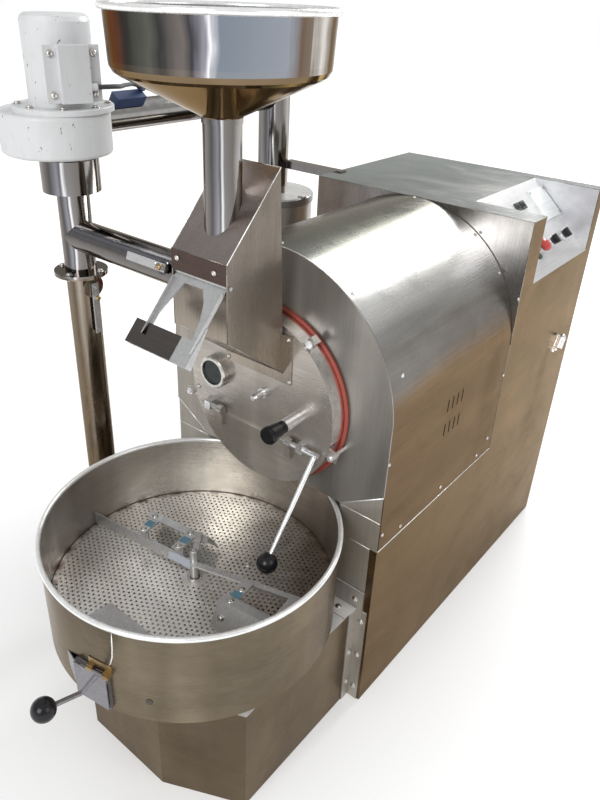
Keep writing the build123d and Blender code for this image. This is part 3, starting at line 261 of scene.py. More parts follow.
def tones(tree, value, stops):
    """A colour looked up along stops of (position, colour)."""
    made = add(tree, "ValToRGB", fac=value)
    held = made.color_ramp.elements
    while len(held) < len(stops):
        held.new(0.5)
    for element, (position, tint) in zip(held, stops):
        element.position = position
        element.color = (*tint, 1.0)
    return made.outputs["Color"]


def bump(tree, shader, height, strength, distance):
    """Surface relief from a height value."""
    made = add(tree, "Bump", height=height, strength=strength, distance=distance)
    tree.links.new(made.outputs["Normal"], shader.inputs["Normal"])


def object_place(tree):
    """Coordinates of the object, which are metres in the roaster's frame."""
    return add(tree, "TexCoord").outputs["Object"]


def facing_of(tree):
    """The way the surface faces in the object's own frame."""
    return add(tree, "TexCoord").outputs["Normal"]


def part_of(tree, vector, axis):
    """One coordinate of a vector."""
    return add(tree, "SeparateXYZ", vector=vector).outputs[axis]


def turn_of(tree, lean):
    """How far the surface turns towards a direction, from nought to one."""
    turn = add(tree, "VectorMath", {"operation": "DOT_PRODUCT"}, vector=facing_of(tree))
    turn.inputs[1].default_value = lean
    return ramp(tree, turn.outputs["Value"], -1.0, 1.0)


def shade(tree, factor, tint, other):
    """A tint multiplied by another colour, as far as the factor says."""
    return blend(tree, factor, tint, other, "MULTIPLY")


def scaled(tint, share):
    """A tint with each of its parts multiplied."""
    return tuple(share * part for part in tint)


# Materials

PLAIN_EDGE = (1.0, 1.0, 1.0)
WARM_EDGE = (0.68, 0.62, 0.54)
SOFT_EDGE = (0.80, 0.75, 0.70)
BRUSH = {
    "x": (5.0, 620.0, 620.0),
    "y": (620.0, 5.0, 620.0),
    "z": (620.0, 620.0, 5.0),
    "round": (22.0, 22.0, 760.0),
}
BRUSH_GLOSS = 0.06
# Painted reflections: light and dark bands that the polished hopper, tubes and stack take by the way they
# face
HOPPER_REFLECTIONS = [
    (0.00, (0.05, 0.035, 0.03)),
    (0.09, (0.12, 0.05, 0.04)),
    (0.15, (0.03, 0.03, 0.03)),
    (0.26, (0.10, 0.10, 0.085)),
    (0.31, (0.04, 0.04, 0.04)),
    (0.39, (0.16, 0.14, 0.13)),
    (0.43, (0.05, 0.05, 0.055)),
    (0.485, (0.30, 0.29, 0.33)),
    (0.50, (0.90, 0.90, 0.92)),
    (0.51, (0.42, 0.43, 0.47)),
    (0.535, (0.20, 0.23, 0.27)),
    (0.79, (0.28, 0.30, 0.34)),
    (0.84, (0.15, 0.10, 0.07)),
    (0.89, (0.20, 0.17, 0.14)),
    (0.93, (0.75, 0.73, 0.70)),
    (0.97, (0.14, 0.11, 0.09)),
]
BAND_LEAN = (0.777, 0.629, 0.0)
TUBE_LEAN = (0.70, 0.50, 0.51)
TUBE_REFLECTIONS = [
    (0.05, (0.08, 0.07, 0.065)),
    (0.18, (0.20, 0.19, 0.185)),
    (0.32, (0.08, 0.075, 0.075)),
    (0.45, (0.22, 0.22, 0.24)),
    (0.50, (0.10, 0.095, 0.11)),
    (0.54, (0.70, 0.70, 0.71)),
    (0.59, (0.20, 0.19, 0.19)),
    (0.78, (0.15, 0.135, 0.12)),
    (0.90, (0.42, 0.41, 0.40)),
    (0.97, (0.16, 0.14, 0.12)),
]
STACK_REFLECTIONS = [
    (0.05, (0.06, 0.045, 0.035)),
    (0.25, (0.20, 0.165, 0.125)),
    (0.40, (0.10, 0.078, 0.055)),
    (0.55, (0.30, 0.265, 0.22)),
    (0.68, (0.12, 0.092, 0.065)),
    (0.90, (0.28, 0.24, 0.19)),
]
# Painted light: lighter and darker bands on the tub's inside wall by the way it faces
INSIDE_PAINTED_LIGHT = [
    (0.00, (0.34, 0.30, 0.27)),
    (0.15, (0.50, 0.46, 0.43)),
    (0.33, (0.75, 0.73, 0.70)),
    (0.50, (1.20, 1.20, 1.20)),
    (0.62, (0.95, 0.94, 0.93)),
    (0.75, (0.85, 0.83, 0.82)),
    (0.90, (0.58, 0.57, 0.56)),
    (1.00, (0.42, 0.41, 0.41)),
]
# Painted shade and light: fades across sheets, darker towards the right, the left and the top, and paler
# towards the top
PAINTED_SHADE_RIGHT = [(0.45, (1.0, 1.0, 1.0)), (0.58, (0.55, 0.55, 0.56)), (0.72, (0.42, 0.42, 0.43))]
PAINTED_SHADE_LEFT = [(0.25, (0.34, 0.28, 0.24)), (0.45, (0.70, 0.69, 0.69)), (0.60, (1.0, 1.0, 1.0))]
PAINTED_SHADE_TOP = [(0.10, (1.25, 1.25, 1.25)), (0.22, (0.72, 0.72, 0.72))]
PAINTED_LIGHT_TOP = [(0.27, (0.85, 0.85, 0.85)), (0.34, (1.0, 1.0, 1.0)), (0.385, (2.2, 2.3, 2.4))]


def surface(tree, shader, tint, roughness, metal=0.0, edge=PLAIN_EDGE):
    """Sets the shader's colour, gloss and metal, and the tint of a metal at a grazing angle."""
    feed(tree, shader.inputs["Base Color"], tint)
    feed(tree, shader.inputs["Roughness"], roughness)
    shader.inputs["Metallic"].default_value = metal
    feed(tree, shader.inputs["Specular Tint"], edge)


def brushed(tree, shader, brush, tint, roughness, metal=1.0, edge=PLAIN_EDGE):
    """Adds brush lines, smears and scratches to a sheet's tint, gloss and relief."""
    place = object_place(tree)
    wide = tuple(9.0 if scale > 100 else 2.0 for scale in BRUSH[brush])
    fine = noise(tree, stretched(tree, place, BRUSH[brush]), 1.0, 4.0, 0.65)
    smear = noise(tree, place, 4.5, 4.0, 0.6, 0.8)
    drawn = noise(tree, stretched(tree, place, wide), 1.0, 4.0, 0.6)
    scratch = noise(tree, stretched(tree, place, (90.0, 35.0, 240.0)), 1.0, 2.0, 0.9, 2.5)
    tint = shade(tree, ramp(tree, drawn, 0.42, 0.72, 0.0, 0.8), tint, (1.34, 1.32, 1.28))
    tint = shade(tree, ramp(tree, smear, 0.45, 0.75, 0.0, 0.8), tint, (0.76, 0.74, 0.71))
    tint = shade(tree, ramp(tree, fine, 0.35, 0.75, 0.0, 0.6), tint, (0.66, 0.64, 0.61))
    tint = shade(tree, ramp(tree, scratch, 0.66, 0.74, 0.0, 0.5), tint, (1.5, 1.5, 1.48))
    gloss = ramp(tree, fine, 0.25, 0.75, roughness - BRUSH_GLOSS, roughness + BRUSH_GLOSS)
    gloss = sums(tree, "ADD", gloss, ramp(tree, smear, 0.3, 0.75, -0.06, 0.10))
    gloss = sums(tree, "ADD", gloss, ramp(tree, scratch, 0.68, 0.75, 0.0, 0.12))
    surface(tree, shader, tint, gloss, metal, edge)
    relief = sums(tree, "SUBTRACT", fine, ramp(tree, scratch, 0.68, 0.75, 0.0, 0.5))
    bump(tree, shader, relief, 0.10, 0.0004)


def sheet_steel(
    name, upright, slope, flat, brush, roughness, sheen, metal, edge=PLAIN_EDGE, fade=None, bands=None
):
    """Stainless sheet with painted light and reflection: its tone follows the way it faces.

    A sheen adds soft upright bands of painted highlight and shade, and an edge is the tint at a grazing
    angle. A fade is an axis, a shift and stops of painted shade and light along it, and bands are stops of
    painted light by the way that a round wall faces.
    """
    made, tree, shader = new_material(name)
    place = object_place(tree)
    # Painted light: the tone turns to the sloping and then to the flat one as the sheet faces up
    rise = part_of(tree, facing_of(tree), "Z")
    tint = blend(tree, ramp(tree, rise, 0.12, 0.55), upright, slope)
    tint = blend(tree, ramp(tree, rise, 0.55, 0.92), tint, flat)
    # Painted sheen: soft upright bands of painted highlight and painted shade
    if sheen:
        soft = noise(tree, stretched(tree, place, (6.0, 6.0, 1.2), (1.7, 0.4, 0.0)), 1.0, 2.0, 0.5, 0.3)
        tint = shade(tree, ramp(tree, soft, 0.50, 0.68, 0.0, sheen), tint, (2.1, 2.1, 2.05))
        tint = shade(tree, ramp(tree, soft, 0.46, 0.30, 0.0, sheen), tint, (0.5, 0.48, 0.45))
    # Painted shade and light along one axis of the sheet
    if fade:
        axis, shift, stops = fade
        along = sums(tree, "SUBTRACT", part_of(tree, place, axis), shift)
        tint = shade(tree, 1.0, tint, tones(tree, along, stops))
    # Painted light by the way a round wall faces
    if bands:
        tint = shade(tree, 1.0, tint, tones(tree, turn_of(tree, BAND_LEAN), bands))
    brushed(tree, shader, brush, tint, roughness, metal, edge)
    return made


def top_steel(name, base, pale):
    """The cabinet's top sheet with wide paler sweeps of painted reflection."""
    made, tree, shader = new_material(name)
    place = object_place(tree)
    sweep = noise(tree, stretched(tree, place, (3.2, 5.5, 5.5), (0.4, 0.7, 0.0)), 1.0, 3.0, 0.55, 1.4)
    ripple = noise(tree, stretched(tree, place, (9.0, 26.0, 9.0)), 1.0, 3.0, 0.6, 1.2)
    # Painted reflection: the sheet turns paler towards the right in wide sweeps
    across = sums(tree, "ADD", part_of(tree, place, "X"), ramp(tree, sweep, 0.2, 0.8, -0.35, 0.35))
    tint = blend(tree, ramp(tree, across, -0.15, 0.20, 0.0, 0.7), base, pale)
    tint = shade(tree, ramp(tree, ripple, 0.48, 0.70, 0.0, 0.6), tint, (1.5, 1.5, 1.5))
    brushed(tree, shader, "x", tint, 0.16)
    return made


def arch_steel(name, upright, slope, flat):
    """The shroud's rolled sheet with painted light and shade by the way it faces: warm sides, a dark
    shoulder, a light crown and long soft streaks.
    """
    made, tree, shader = new_material(name)
    place = object_place(tree)
    rise = part_of(tree, facing_of(tree), "Z")
    drift = noise(tree, stretched(tree, place, (7.0, 1.3, 7.0)), 1.0, 3.0, 0.55)
    rise = sums(tree, "ADD", rise, ramp(tree, drift, 0.3, 0.7, -0.06, 0.06))
    stops = [
        (0.16, upright),
        (0.32, scaled(slope, 0.75)),
        (0.46, slope),
        (0.58, scaled(flat, 0.62)),
        (0.70, flat),
        (0.82, flat),
        (0.91, scaled(flat, 0.62)),
        (0.99, (0.26, 0.275, 0.255)),
    ]
    brushed(tree, shader, "y", tones(tree, rise, stops), 0.25, edge=(0.60, 0.55, 0.50))
    return made


def mirror_steel(name, stops, lean, edge, shade_under=None, rust=None):
    """Polished tube or bowl with painted reflections: light and dark bands round it by the way it faces.

    The shade_under tint is painted shade on what faces down, and rust is two heights between which it grows
    to the foot.
    """
    made, tree, shader = new_material(name)
    place = object_place(tree)
    smear = noise(tree, place, 14.0, 4.0, 0.6, 0.6)
    wander = noise(tree, stretched(tree, place, (2.5, 2.5, 6.0)), 1.0, 3.0, 0.5)
    ripple = noise(tree, stretched(tree, place, (55.0, 55.0, 4.0)), 1.0, 3.0, 0.6)
    bands = sums(tree, "ADD", turn_of(tree, lean), ramp(tree, wander, 0.3, 0.7, -0.02, 0.02))
    bands = sums(tree, "ADD", bands, ramp(tree, ripple, 0.3, 0.7, -0.012, 0.012))
    tint = tones(tree, bands, stops)
    # Painted shade on faces that look down
    if shade_under:
        down = ramp(tree, part_of(tree, facing_of(tree), "Z"), -0.05, -0.45)
        below = blend(tree, ramp(tree, wander, 0.35, 0.65), shade_under, scaled(shade_under, 2.2))
        tint = blend(tree, down, tint, below)
    rough = ramp(tree, smear, 0.3, 0.75, 0.06, 0.17)
    if rust:
        low, high = rust
        spots = noise(tree, stretched(tree, place, (30.0, 30.0, 9.0)), 1.0, 5.0, 0.65, 0.5)
        near = ramp(tree, part_of(tree, place, "Z"), low, high, 1.0, 0.0)
        mask = ramp(tree, sums(tree, "MULTIPLY", spots, near), 0.16, 0.44, 0.0, 0.9)
        brown = tones(tree, spots, [(0.35, (0.075, 0.045, 0.025)), (0.65, (0.20, 0.14, 0.085))])
        tint = blend(tree, mask, tint, brown)
        rough = sums(tree, "ADD", rough, ramp(tree, mask, 0.0, 1.0, 0.0, 0.30))
    surface(tree, shader, tint, rough, 1.0, edge)
    bump(tree, shader, smear, 0.05, 0.002)
    return made


def floor_steel(name, light):
    """The tub floor: pale at the left, darker and browner towards the right and back, rusty at its edge."""
    made, tree, shader = new_material(name)
    place = object_place(tree)
    cloud = noise(tree, place, 9.0, 4.0, 0.6, 0.5)
    lean = sums(tree, "MULTIPLY_ADD", part_of(tree, place, "Y"), 0.45)
    feed(tree, lean.node.inputs[2], part_of(tree, place, "X"))
    lean = sums(tree, "ADD", lean, ramp(tree, cloud, 0.0, 1.0, -0.18, 0.18))
    tint = blend(tree, ramp(tree, lean, -0.10, 0.16), light, (0.27, 0.225, 0.185))
    centre = (TUB_CENTRE.x, TUB_CENTRE.y, FLOOR_TOP)
    apart = add(tree, "VectorMath", {"operation": "DISTANCE"}, vector=place)
    apart.inputs[1].default_value = centre
    edge = ramp(tree, apart.outputs["Value"], TUB_R - 0.022, TUB_R - 0.006)
    edge = sums(tree, "MULTIPLY", edge, ramp(tree, noise(tree, place, 34.0, 4.0, 0.65), 0.38, 0.62))
    tint = blend(tree, edge, tint, (0.13, 0.055, 0.025))
    brushed(tree, shader, "x", tint, 0.34, metal=0.7)
    return made


def galvanised(name, base):
    """Zinc-grey plate with faint spangle and rubbed patches."""
    made, tree, shader = new_material(name)
    place = object_place(tree)
    cells = add(tree, "TexVoronoi", vector=place, scale=160.0).outputs["Color"]
    grey = add(tree, "RGBToBW", color=cells).outputs["Val"]
    rub = noise(tree, place, 30.0, 4.0, 0.6, 0.4)
    tint = blend(tree, ramp(tree, grey, 0.2, 0.8, 0.0, 0.3), base, scaled(base, 0.72))
    tint = blend(tree, ramp(tree, rub, 0.5, 0.8, 0.0, 0.5), tint, scaled(base, 0.55))
    surface(tree, shader, tint, ramp(tree, rub, 0.3, 0.8, 0.22, 0.42), 0.75)
    bump(tree, shader, rub, 0.08, 0.001)
    return made


def chipped_paint(name, base):
    """White gloss paint, grubby in streaks and chipped to dark metal."""
    made, tree, shader = new_material(name)
    place = object_place(tree)
    grime = noise(tree, stretched(tree, place, (20.0, 20.0, 6.0)), 1.0, 5.0, 0.65, 0.4)
    chips = noise(tree, stretched(tree, place, (70.0, 70.0, 38.0)), 1.0, 5.0, 0.72, 0.3)
    chip = ramp(tree, chips, 0.650, 0.662)
    tint = blend(tree, ramp(tree, grime, 0.45, 0.8, 0.0, 0.5), base, (0.50, 0.48, 0.43))
    tint = blend(tree, chip, tint, (0.10, 0.085, 0.07))
    surface(tree, shader, tint, ramp(tree, grime, 0.3, 0.8, 0.28, 0.55))
    bump(tree, shader, sums(tree, "SUBTRACT", ramp(tree, grime, 0, 1, 0, 0.3), chip), 0.25, 0.0006)
    return made


def moulded(name, base, roughness, scuff=(0.3, 0.3, 0.3), clear=0.0, shine=0.5):
    """Plastic or rubber with faint mottling and light scuffs."""
    made, tree, shader = new_material(name)
    place = object_place(tree)
    mottle = noise(tree, place, 120.0, 4.0, 0.6)
    rub = noise(tree, place, 45.0, 5.0, 0.7, 0.6)
    tint = blend(tree, ramp(tree, mottle, 0.3, 0.7, 0.0, 0.35), base, scaled(base, 0.7))
    tint = blend(tree, ramp(tree, rub, 0.62, 0.74, 0.0, 0.45), tint, scuff)
    surface(tree, shader, tint, ramp(tree, rub, 0.3, 0.75, roughness, roughness + 0.2))
    shader.inputs["Coat Weight"].default_value = clear
    shader.inputs["Coat Roughness"].default_value = 0.12
    shader.inputs["Specular IOR Level"].default_value = shine
    bump(tree, shader, mottle, 0.06, 0.0004)
    return made


def plain_metal(name, base, roughness, tarnish=None, metal=1.0):
    """Chromed, brass or cast metal with tarnish in patches."""
    made, tree, shader = new_material(name)
    place = object_place(tree)
    patch = noise(tree, place, 70.0, 5.0, 0.65, 0.5)
    dull = tarnish or scaled(base, 0.45)
    tint = blend(tree, ramp(tree, patch, 0.45, 0.8, 0.0, 0.7), base, dull)
    surface(tree, shader, tint, ramp(tree, patch, 0.3, 0.8, roughness - 0.06, roughness + 0.16), metal)
    bump(tree, shader, patch, 0.03, 0.0004)
    return made


def sight_pane(name):
    """Smoked glass over the dark drum."""
    made, tree, shader = new_material(name)
    film = noise(tree, object_place(tree), 60.0, 3.0)
    tint = blend(tree, ramp(tree, film, 0.35, 0.7), (0.020, 0.032, 0.030), (0.008, 0.012, 0.011))
    surface(tree, shader, tint, ramp(tree, film, 0.3, 0.7, 0.03, 0.16))
    shader.inputs["Specular IOR Level"].default_value = 0.3
    return made


def finish_of(key):
    """The material of one finish, made once."""
    name = "roaster_" + key
    held = bpy.data.materials.get(name)
    if held:
        return held
    picked = bpy.context.scene.roaster_finishes
    tone = {label: tuple(getattr(picked, label)) for label in RoasterFinishes.__annotations__}
    slope, flat = tone["slope"], tone["flat"]
    pale, tan = (0.95, 0.95, 0.95), (0.36, 0.31, 0.29)

    def sheet(upright, brush, roughness, sheen=0.0, metal=1.0, slope=slope, flat=flat, **more):
        return sheet_steel(name, upright, slope, flat, brush, roughness, sheen, metal, **more)

    makers = {
        "side": lambda: sheet(tone["side"], "y", 0.22, 0.15, edge=WARM_EDGE),
        "front": lambda: sheet(tone["front"], "z", 0.34, metal=0.7),
        "bulkhead": lambda: sheet(tone["front"], "z", 0.40, 0.6, 0.7, fade=("X", -0.45, PAINTED_SHADE_RIGHT)),
        "cap": lambda: sheet(tone["cap"], "x", 0.28, 0.3, 0.75),
        "cap_rim": lambda: plain_metal(name, tone["bright"], 0.16),
        "shroud": lambda: arch_steel(name, tone["side"], slope, flat),
        "top": lambda: top_steel(name, tone["cabinet"], (0.40, 0.41, 0.41)),
        "silver": lambda: sheet((0.37, 0.37, 0.38), "z", 0.24, fade=("X", -0.50, PAINTED_SHADE_LEFT)),
        "tub": lambda: sheet(tone["tub"], "round", 0.26, 0.4, edge=SOFT_EDGE),
        "tub_inside": lambda: sheet(tone["tub_inside"], "round", 0.28, 0.5, 0.8, bands=INSIDE_PAINTED_LIGHT),
        "tray": lambda: sheet(tone["tray"], "x", 0.22, 0.2, edge=SOFT_EDGE),
        # Painted light: a pale, barely metallic sheet for up-facing tops, so that they read as lit
        "pale": lambda: sheet(pale, "x", 0.4, 0.0, 0.2, pale, pale),
        "lid": lambda: sheet(slope, "x", 0.3, metal=0.5, flat=(0.70, 0.70, 0.69)),
        "chute": lambda: sheet((0.26, 0.225, 0.19), "z", 0.26, metal=0.85, fade=("Z", 1.0, PAINTED_SHADE_TOP)),
        "chute_slope": lambda: sheet(slope, "z", 0.26, slope=tan, flat=tan, fade=("Z", 1.0, PAINTED_LIGHT_TOP)),
        # Painted shade: a much darker copy of the steel for the chute lip's front and the flap handle's cover
        # plate
        "cover": lambda: sheet((0.075, 0.052, 0.046), "x", 0.26, slope=(0.060, 0.045, 0.040), flat=slope),
        "panel": lambda: sheet((0.56, 0.57, 0.61), "y", 0.34, metal=0.45, slope=(0.60, 0.61, 0.65)),
        "plate": lambda: sheet((0.76, 0.80, 0.83), "y", 0.34, metal=0.4, slope=(0.82, 0.88, 0.91)),
        "floor": lambda: floor_steel(name, tone["floor"]),
        "hopper": lambda: mirror_steel(name, HOPPER_REFLECTIONS, BAND_LEAN, (0.55, 0.48, 0.40), (0.14, 0.10, 0.06)),
        "tube": lambda: mirror_steel(name, TUBE_REFLECTIONS, TUBE_LEAN, SOFT_EDGE),
        "stack": lambda: mirror_steel(name, STACK_REFLECTIONS, TUBE_LEAN, SOFT_EDGE, rust=(0.30, 1.35)),
        # Painted highlight: near-white, half-metallic beads along folds, and part polish, part painted
        # highlight on the rims
        "bright": lambda: plain_metal(name, tone["bright"], 0.18, (0.60, 0.59, 0.57), 0.6),
        # Painted highlight: fainter beads along lesser bends and edges
        "fold": lambda: plain_metal(name, (0.34, 0.31, 0.28), 0.26),
        "zinc": lambda: galvanised(name, tone["zinc"]),
        "gate": lambda: galvanised(name, (0.26, 0.25, 0.27)),
        "paint": lambda: chipped_paint(name, tone["paint"]),
        "silicone": lambda: moulded(name, tone["silicone"], 0.45, (0.42, 0.12, 0.08)),
        "phenolic": lambda: moulded(name, tone["phenolic"], 0.08, (0.03, 0.03, 0.03), 0.0, 0.3),
        "black": lambda: moulded(name, (0.02, 0.021, 0.024), 0.35, (0.08, 0.08, 0.08)),
        "red": lambda: moulded(name, (0.55, 0.045, 0.035), 0.22, (0.4, 0.08, 0.06), 0.4),
        "green": lambda: moulded(name, (0.012, 0.05, 0.025), 0.25, (0.04, 0.08, 0.05), 0.4),
        "conduit": lambda: moulded(name, (0.040, 0.043, 0.048), 0.5, (0.10, 0.10, 0.11)),
        "connector": lambda: moulded(name, (0.030, 0.055, 0.14), 0.42, (0.09, 0.12, 0.2)),
        "film": lambda: moulded(name, tone["film"], 0.3, (0.16, 0.26, 0.30)),
        "pale_film": lambda: moulded(name, (0.56, 0.60, 0.68), 0.3, (0.7, 0.72, 0.75)),
        "brass": lambda: plain_metal(name, tone["brass"], 0.32, (0.22, 0.15, 0.075)),
        "chrome": lambda: plain_metal(name, tone["chrome"], 0.2, metal=0.85),
        "bolt": lambda: plain_metal(name, (0.62, 0.60, 0.57), 0.26),
        # Dark dull metal: the real plug, and the painted shadow in the gaps behind the arch and round the tub
        # floor
        "dull": lambda: plain_metal(name, (0.10, 0.095, 0.085), 0.4, (0.14, 0.10, 0.07)),
        "iron": lambda: plain_metal(name, tone["iron"], 0.55, (0.20, 0.12, 0.07)),
        "motor": lambda: moulded(name, (0.10, 0.13, 0.16), 0.4),
        "glass": lambda: sight_pane(name),
    }
    return makers[key]()


def dress(key, *nodes):
    """Gives CAD nodes one finish."""
    for node in nodes:
        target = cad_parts[node]
        target.data.materials.clear()
        target.data.materials.append(finish_of(key))


def dress_faces(node, key, test):
    """Gives the faces of a CAD node that pass a test of centre and normal another finish."""
    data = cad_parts[node].data
    data.materials.append(finish_of(key))
    index = len(data.materials) - 1
    for face in data.polygons:
        if test(face.center, face.normal):
            face.material_index = index


# Mesh helpers


def keep_piece(name, mesh, key, body):
    """Turns a bmesh into a piece that rides on a body."""
    bmesh.ops.recalc_face_normals(mesh, faces=mesh.faces)
    data = bpy.data.meshes.new(name)
    mesh.to_mesh(data)
    mesh.free()
    piece = bpy.data.objects.new(name, data)
    bpy.context.scene.collection.objects.link(piece)
    data.materials.append(finish_of(key))
    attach(piece, body)
    return piece


def skin(mesh, rings, closed=False):
    """Joins rings of vertices with faces; a ring of one vertex is a pole."""
    pairs = list(zip(rings, rings[1:] + rings[:1] if closed else rings[1:]))
    for lower, upper in pairs:
        count = max(len(lower), len(upper))
        for k in range(count):
            n = (k + 1) % count
            below = [lower[k % len(lower)], lower[n % len(lower)]]
            above = [upper[n % len(upper)], upper[k % len(upper)]]
            mesh.faces.new(list(dict.fromkeys(below + above))).smooth = True


def round_points(radius, sides, start=0.0):
    """Points (x, y) evenly round a circle, from a start angle in degrees."""
    turns = [math.radians(start) + 2 * math.pi * k / sides for k in range(sides)]
    return [(radius * math.cos(turn), radius * math.sin(turn)) for turn in turns]


def circle_of(mesh, place, radius, height, sides):
    """A ring of vertices about the Z axis of a placing matrix, or its pole."""
    if radius < 1e-7:
        return [mesh.verts.new(place @ Vector((0, 0, height)))]
    return [mesh.verts.new(place @ Vector((x, y, height))) for x, y in round_points(radius, sides)]


def turned(mesh, profile, place, sides=16, closed=False):
    """A body of revolution about the Z axis of a placing matrix; profile is (radius, height) pairs."""
    skin(mesh, [circle_of(mesh, place, radius, height, sides) for radius, height in profile], closed)


def facing(point, normal, spin=0.0):
    """A placing matrix with its Z axis along a normal."""
    turn = Vector(normal).to_track_quat("Z", "Y").to_matrix().to_4x4()
    return Matrix.Translation(Vector(point)) @ turn @ Matrix.Rotation(spin, 4, "Z")


def bead(mesh, points, radius, sides=6, tip=1.0):
    """A round bead along points; tip is the share of the radius that its ends keep."""
    rings = []
    last = len(points) - 1
    for k, point in enumerate(points):
        along = points[min(k + 1, last)] - points[max(k - 1, 0)]
        size = radius * (tip if k in (0, last) else 1.0)
        rings.append(circle_of(mesh, facing(point, along), size, 0.0, sides))
    skin(mesh, [[mesh.verts.new(points[0])], *rings, [mesh.verts.new(points[last])]])


def prism(mesh, corners, thickness):
    """A flat plate on corners that run anticlockwise seen from its outer face, thickened inwards."""
    normal = (corners[1] - corners[0]).cross(corners[2] - corners[1]).normalized()
    outer = [mesh.verts.new(c) for c in corners]
    inner = [mesh.verts.new(c - normal * thickness) for c in corners]
    mesh.faces.new(outer)
    mesh.faces.new(list(reversed(inner)))
    for k in range(len(corners)):
        mesh.faces.new((outer[k - 1], inner[k - 1], inner[k], outer[k]))


def screw_head(mesh, point, normal, radius):
    """A pan head with a dished recess."""
    profile = [
        (0.0, -0.0004),
        (radius, -0.0004),
        (radius, 0.18 * radius),
        (0.86 * radius, 0.5 * radius),
        (0.55 * radius, 0.64 * radius),
        (0.34 * radius, 0.66 * radius),
        (0.26 * radius, 0.36 * radius),
        (0.0, 0.30 * radius),
    ]
    turned(mesh, profile, facing(point, normal), 14)


def hex_bolt(mesh, point, normal, radius, spin=0.0):
    """A washer, a chamfered hexagon head and its crown."""
    washer = [(0.0, -0.0004), (1.35 * radius, -0.0004), (1.35 * radius, 0.0014), (0.0, 0.0014)]
    head = [(0.0, 0.0012), (radius, 0.0012), (radius, 0.72 * radius), (0.82 * radius, 0.84 * radius)]
    turned(mesh, washer, facing(point, normal), 18)
    turned(mesh, head + [(0.0, 0.84 * radius)], facing(point, normal, spin), 6)


def on_wall(angle, height, radius=TUB_R):
    """A point on the tub's wall at an angle in degrees."""
    turn = math.radians(angle)
    return TUB_CENTRE + Vector((radius * math.cos(turn), radius * math.sin(turn), height))


def on_arch(angle, depth, radius):
    """A point on the shroud's arch and the way it faces there."""
    out = Vector((math.cos(math.radians(angle)), 0.0, math.sin(math.radians(angle))))
    return Vector((radius * out.x, depth, ARCH_Z + radius * out.z)), out


# Operators


class ROASTER_OT_steelwork(bpy.types.Operator):
    """Give every sheet-metal piece of the casing, cap and tub its finish"""

    bl_idname = "roaster.steelwork"
    bl_label = "Steelwork"

    def execute(self, context):
        dress("side", "side_panel_right", "side_panel_left", "rear_panel")
        dress("silver", "cabinet_bulkhead")
        dress("panel", "control_panel")
        dress("front", "lower_front_panel", "corner_angles")
        dress("bulkhead", "front_bulkhead")
        # Painted light: the up-facing tops of the angles take the pale finish
        dress_faces("corner_angles", "pale", lambda at, way: way.z > 0.9)
        dress("cap", "front_cap", "discharge_door")
        dress_faces("front_cap", "cap_rim", lambda at, way: abs(way.y) < 0.4 and abs(at.y) < -0.9 * CAP_FACE)
        dress("shroud", "drum_shroud")
        dress("top", "cabinet_top")
        dress("tub", "cooling_tub")
        dress_faces("cooling_tub", "tub_inside", self.faces_in)
        # Part polish, part painted highlight: the tub's rolled rim takes the bright finish
        dress_faces("cooling_tub", "bright", lambda at, way: at.z > TUB_RIM - RIM_BAND)
        dress("tray", "tray_base")
        # Painted light: the up-facing top of the tray takes the pale finish
        dress_faces("tray_base", "pale", lambda at, way: way.z > 0.9)
        dress("chute", "chute_box")
        dress_faces("chute_box", "chute_slope", lambda at, way: way.z > 0.5)
        dress_faces("chute_box", "cover", lambda at, way: way.y < -0.9 and at.y < LIP_FACE)
        dress("iron", "base_frame", "drum_bearings", "gas_burner", "roasting_drum")
        dress("motor", "gear_motors")
        return {"FINISHED"}

    def faces_in(self, at, way):
        """Whether an upright face of the tub looks at its middle."""
        return way.dot(TUB_CENTRE - at) > 0.1 and abs(way.z) < 0.5


class ROASTER_OT_tubes(bpy.types.Operator):
    """Give the hopper, the tubes and the cyclone their finish"""

    bl_idname = "roaster.tubes"
    bl_label = "Hopper and tubes"

    def execute(self, context):
        dress("hopper", "hopper")
        hopper_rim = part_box("hopper")[1].z
        # Part polish, part painted highlight: the hopper's rim takes the bright finish
        dress_faces("hopper", "bright", lambda at, way: at.z > hopper_rim - RIM_BAND)
        dress("tube", "feed_pipe", "branch_pipe", "outlet_pipe", "stack_tee")
        dress("stack", "cooling_duct")
        dress("front", "cyclone_body", "chaff_bin")
        dress("lid", "cyclone_lid")
        return {"FINISHED"}


class ROASTER_OT_small_parts(bpy.types.Operator):
    """Give the fittings, knobs, seals and controls their finish"""

    bl_idname = "roaster.small_parts"
    bl_label = "Small parts"

    def execute(self, context):
        dress("chrome", "cap_fittings", "door_bearings", "door_lever", "tryer")
        dress("chrome", "control_bezels", "side_latch")
        dress("bolt", "sight_ring")
        dress("silicone", "cap_seal")
        dress("phenolic", "door_ball", "gate_ball", "tryer_grip")
        dress("gate", "gate_flap", "discharge_spout")
        dress("zinc", "feed_flap", "stirrer_paddles", "impeller")
        dress("zinc", "stirrer_shaft", "damper_stack", "damper_branch")
        dress("brass", "gate_hinge")
        dress("paint", "blower_housing", "blower_motor")
        dress("conduit", "motor_lead")
        dress("connector", "lead_connector")
        dress("black", "panel_instruments", "selector_left", "selector_right")
        dress("red", "estop_button")
        dress("green", "start_button")
        dress("glass", "sight_glass")
        from_flap = FLAP.inverted()
        dress_faces("feed_flap", "cover", lambda at, way: self.on_handle(from_flap @ at))
        dress_faces("panel_instruments", "plate", lambda at, way: at.y > PANEL_MID.y + 0.08)
        return {"FINISHED"}

    def on_handle(self, at):
        """Whether a place in the flap's frame is on the handle's cover plate."""
        handle_top, cover_right = -0.120, 0.0275
        return at.y < handle_top and at.x < cover_right


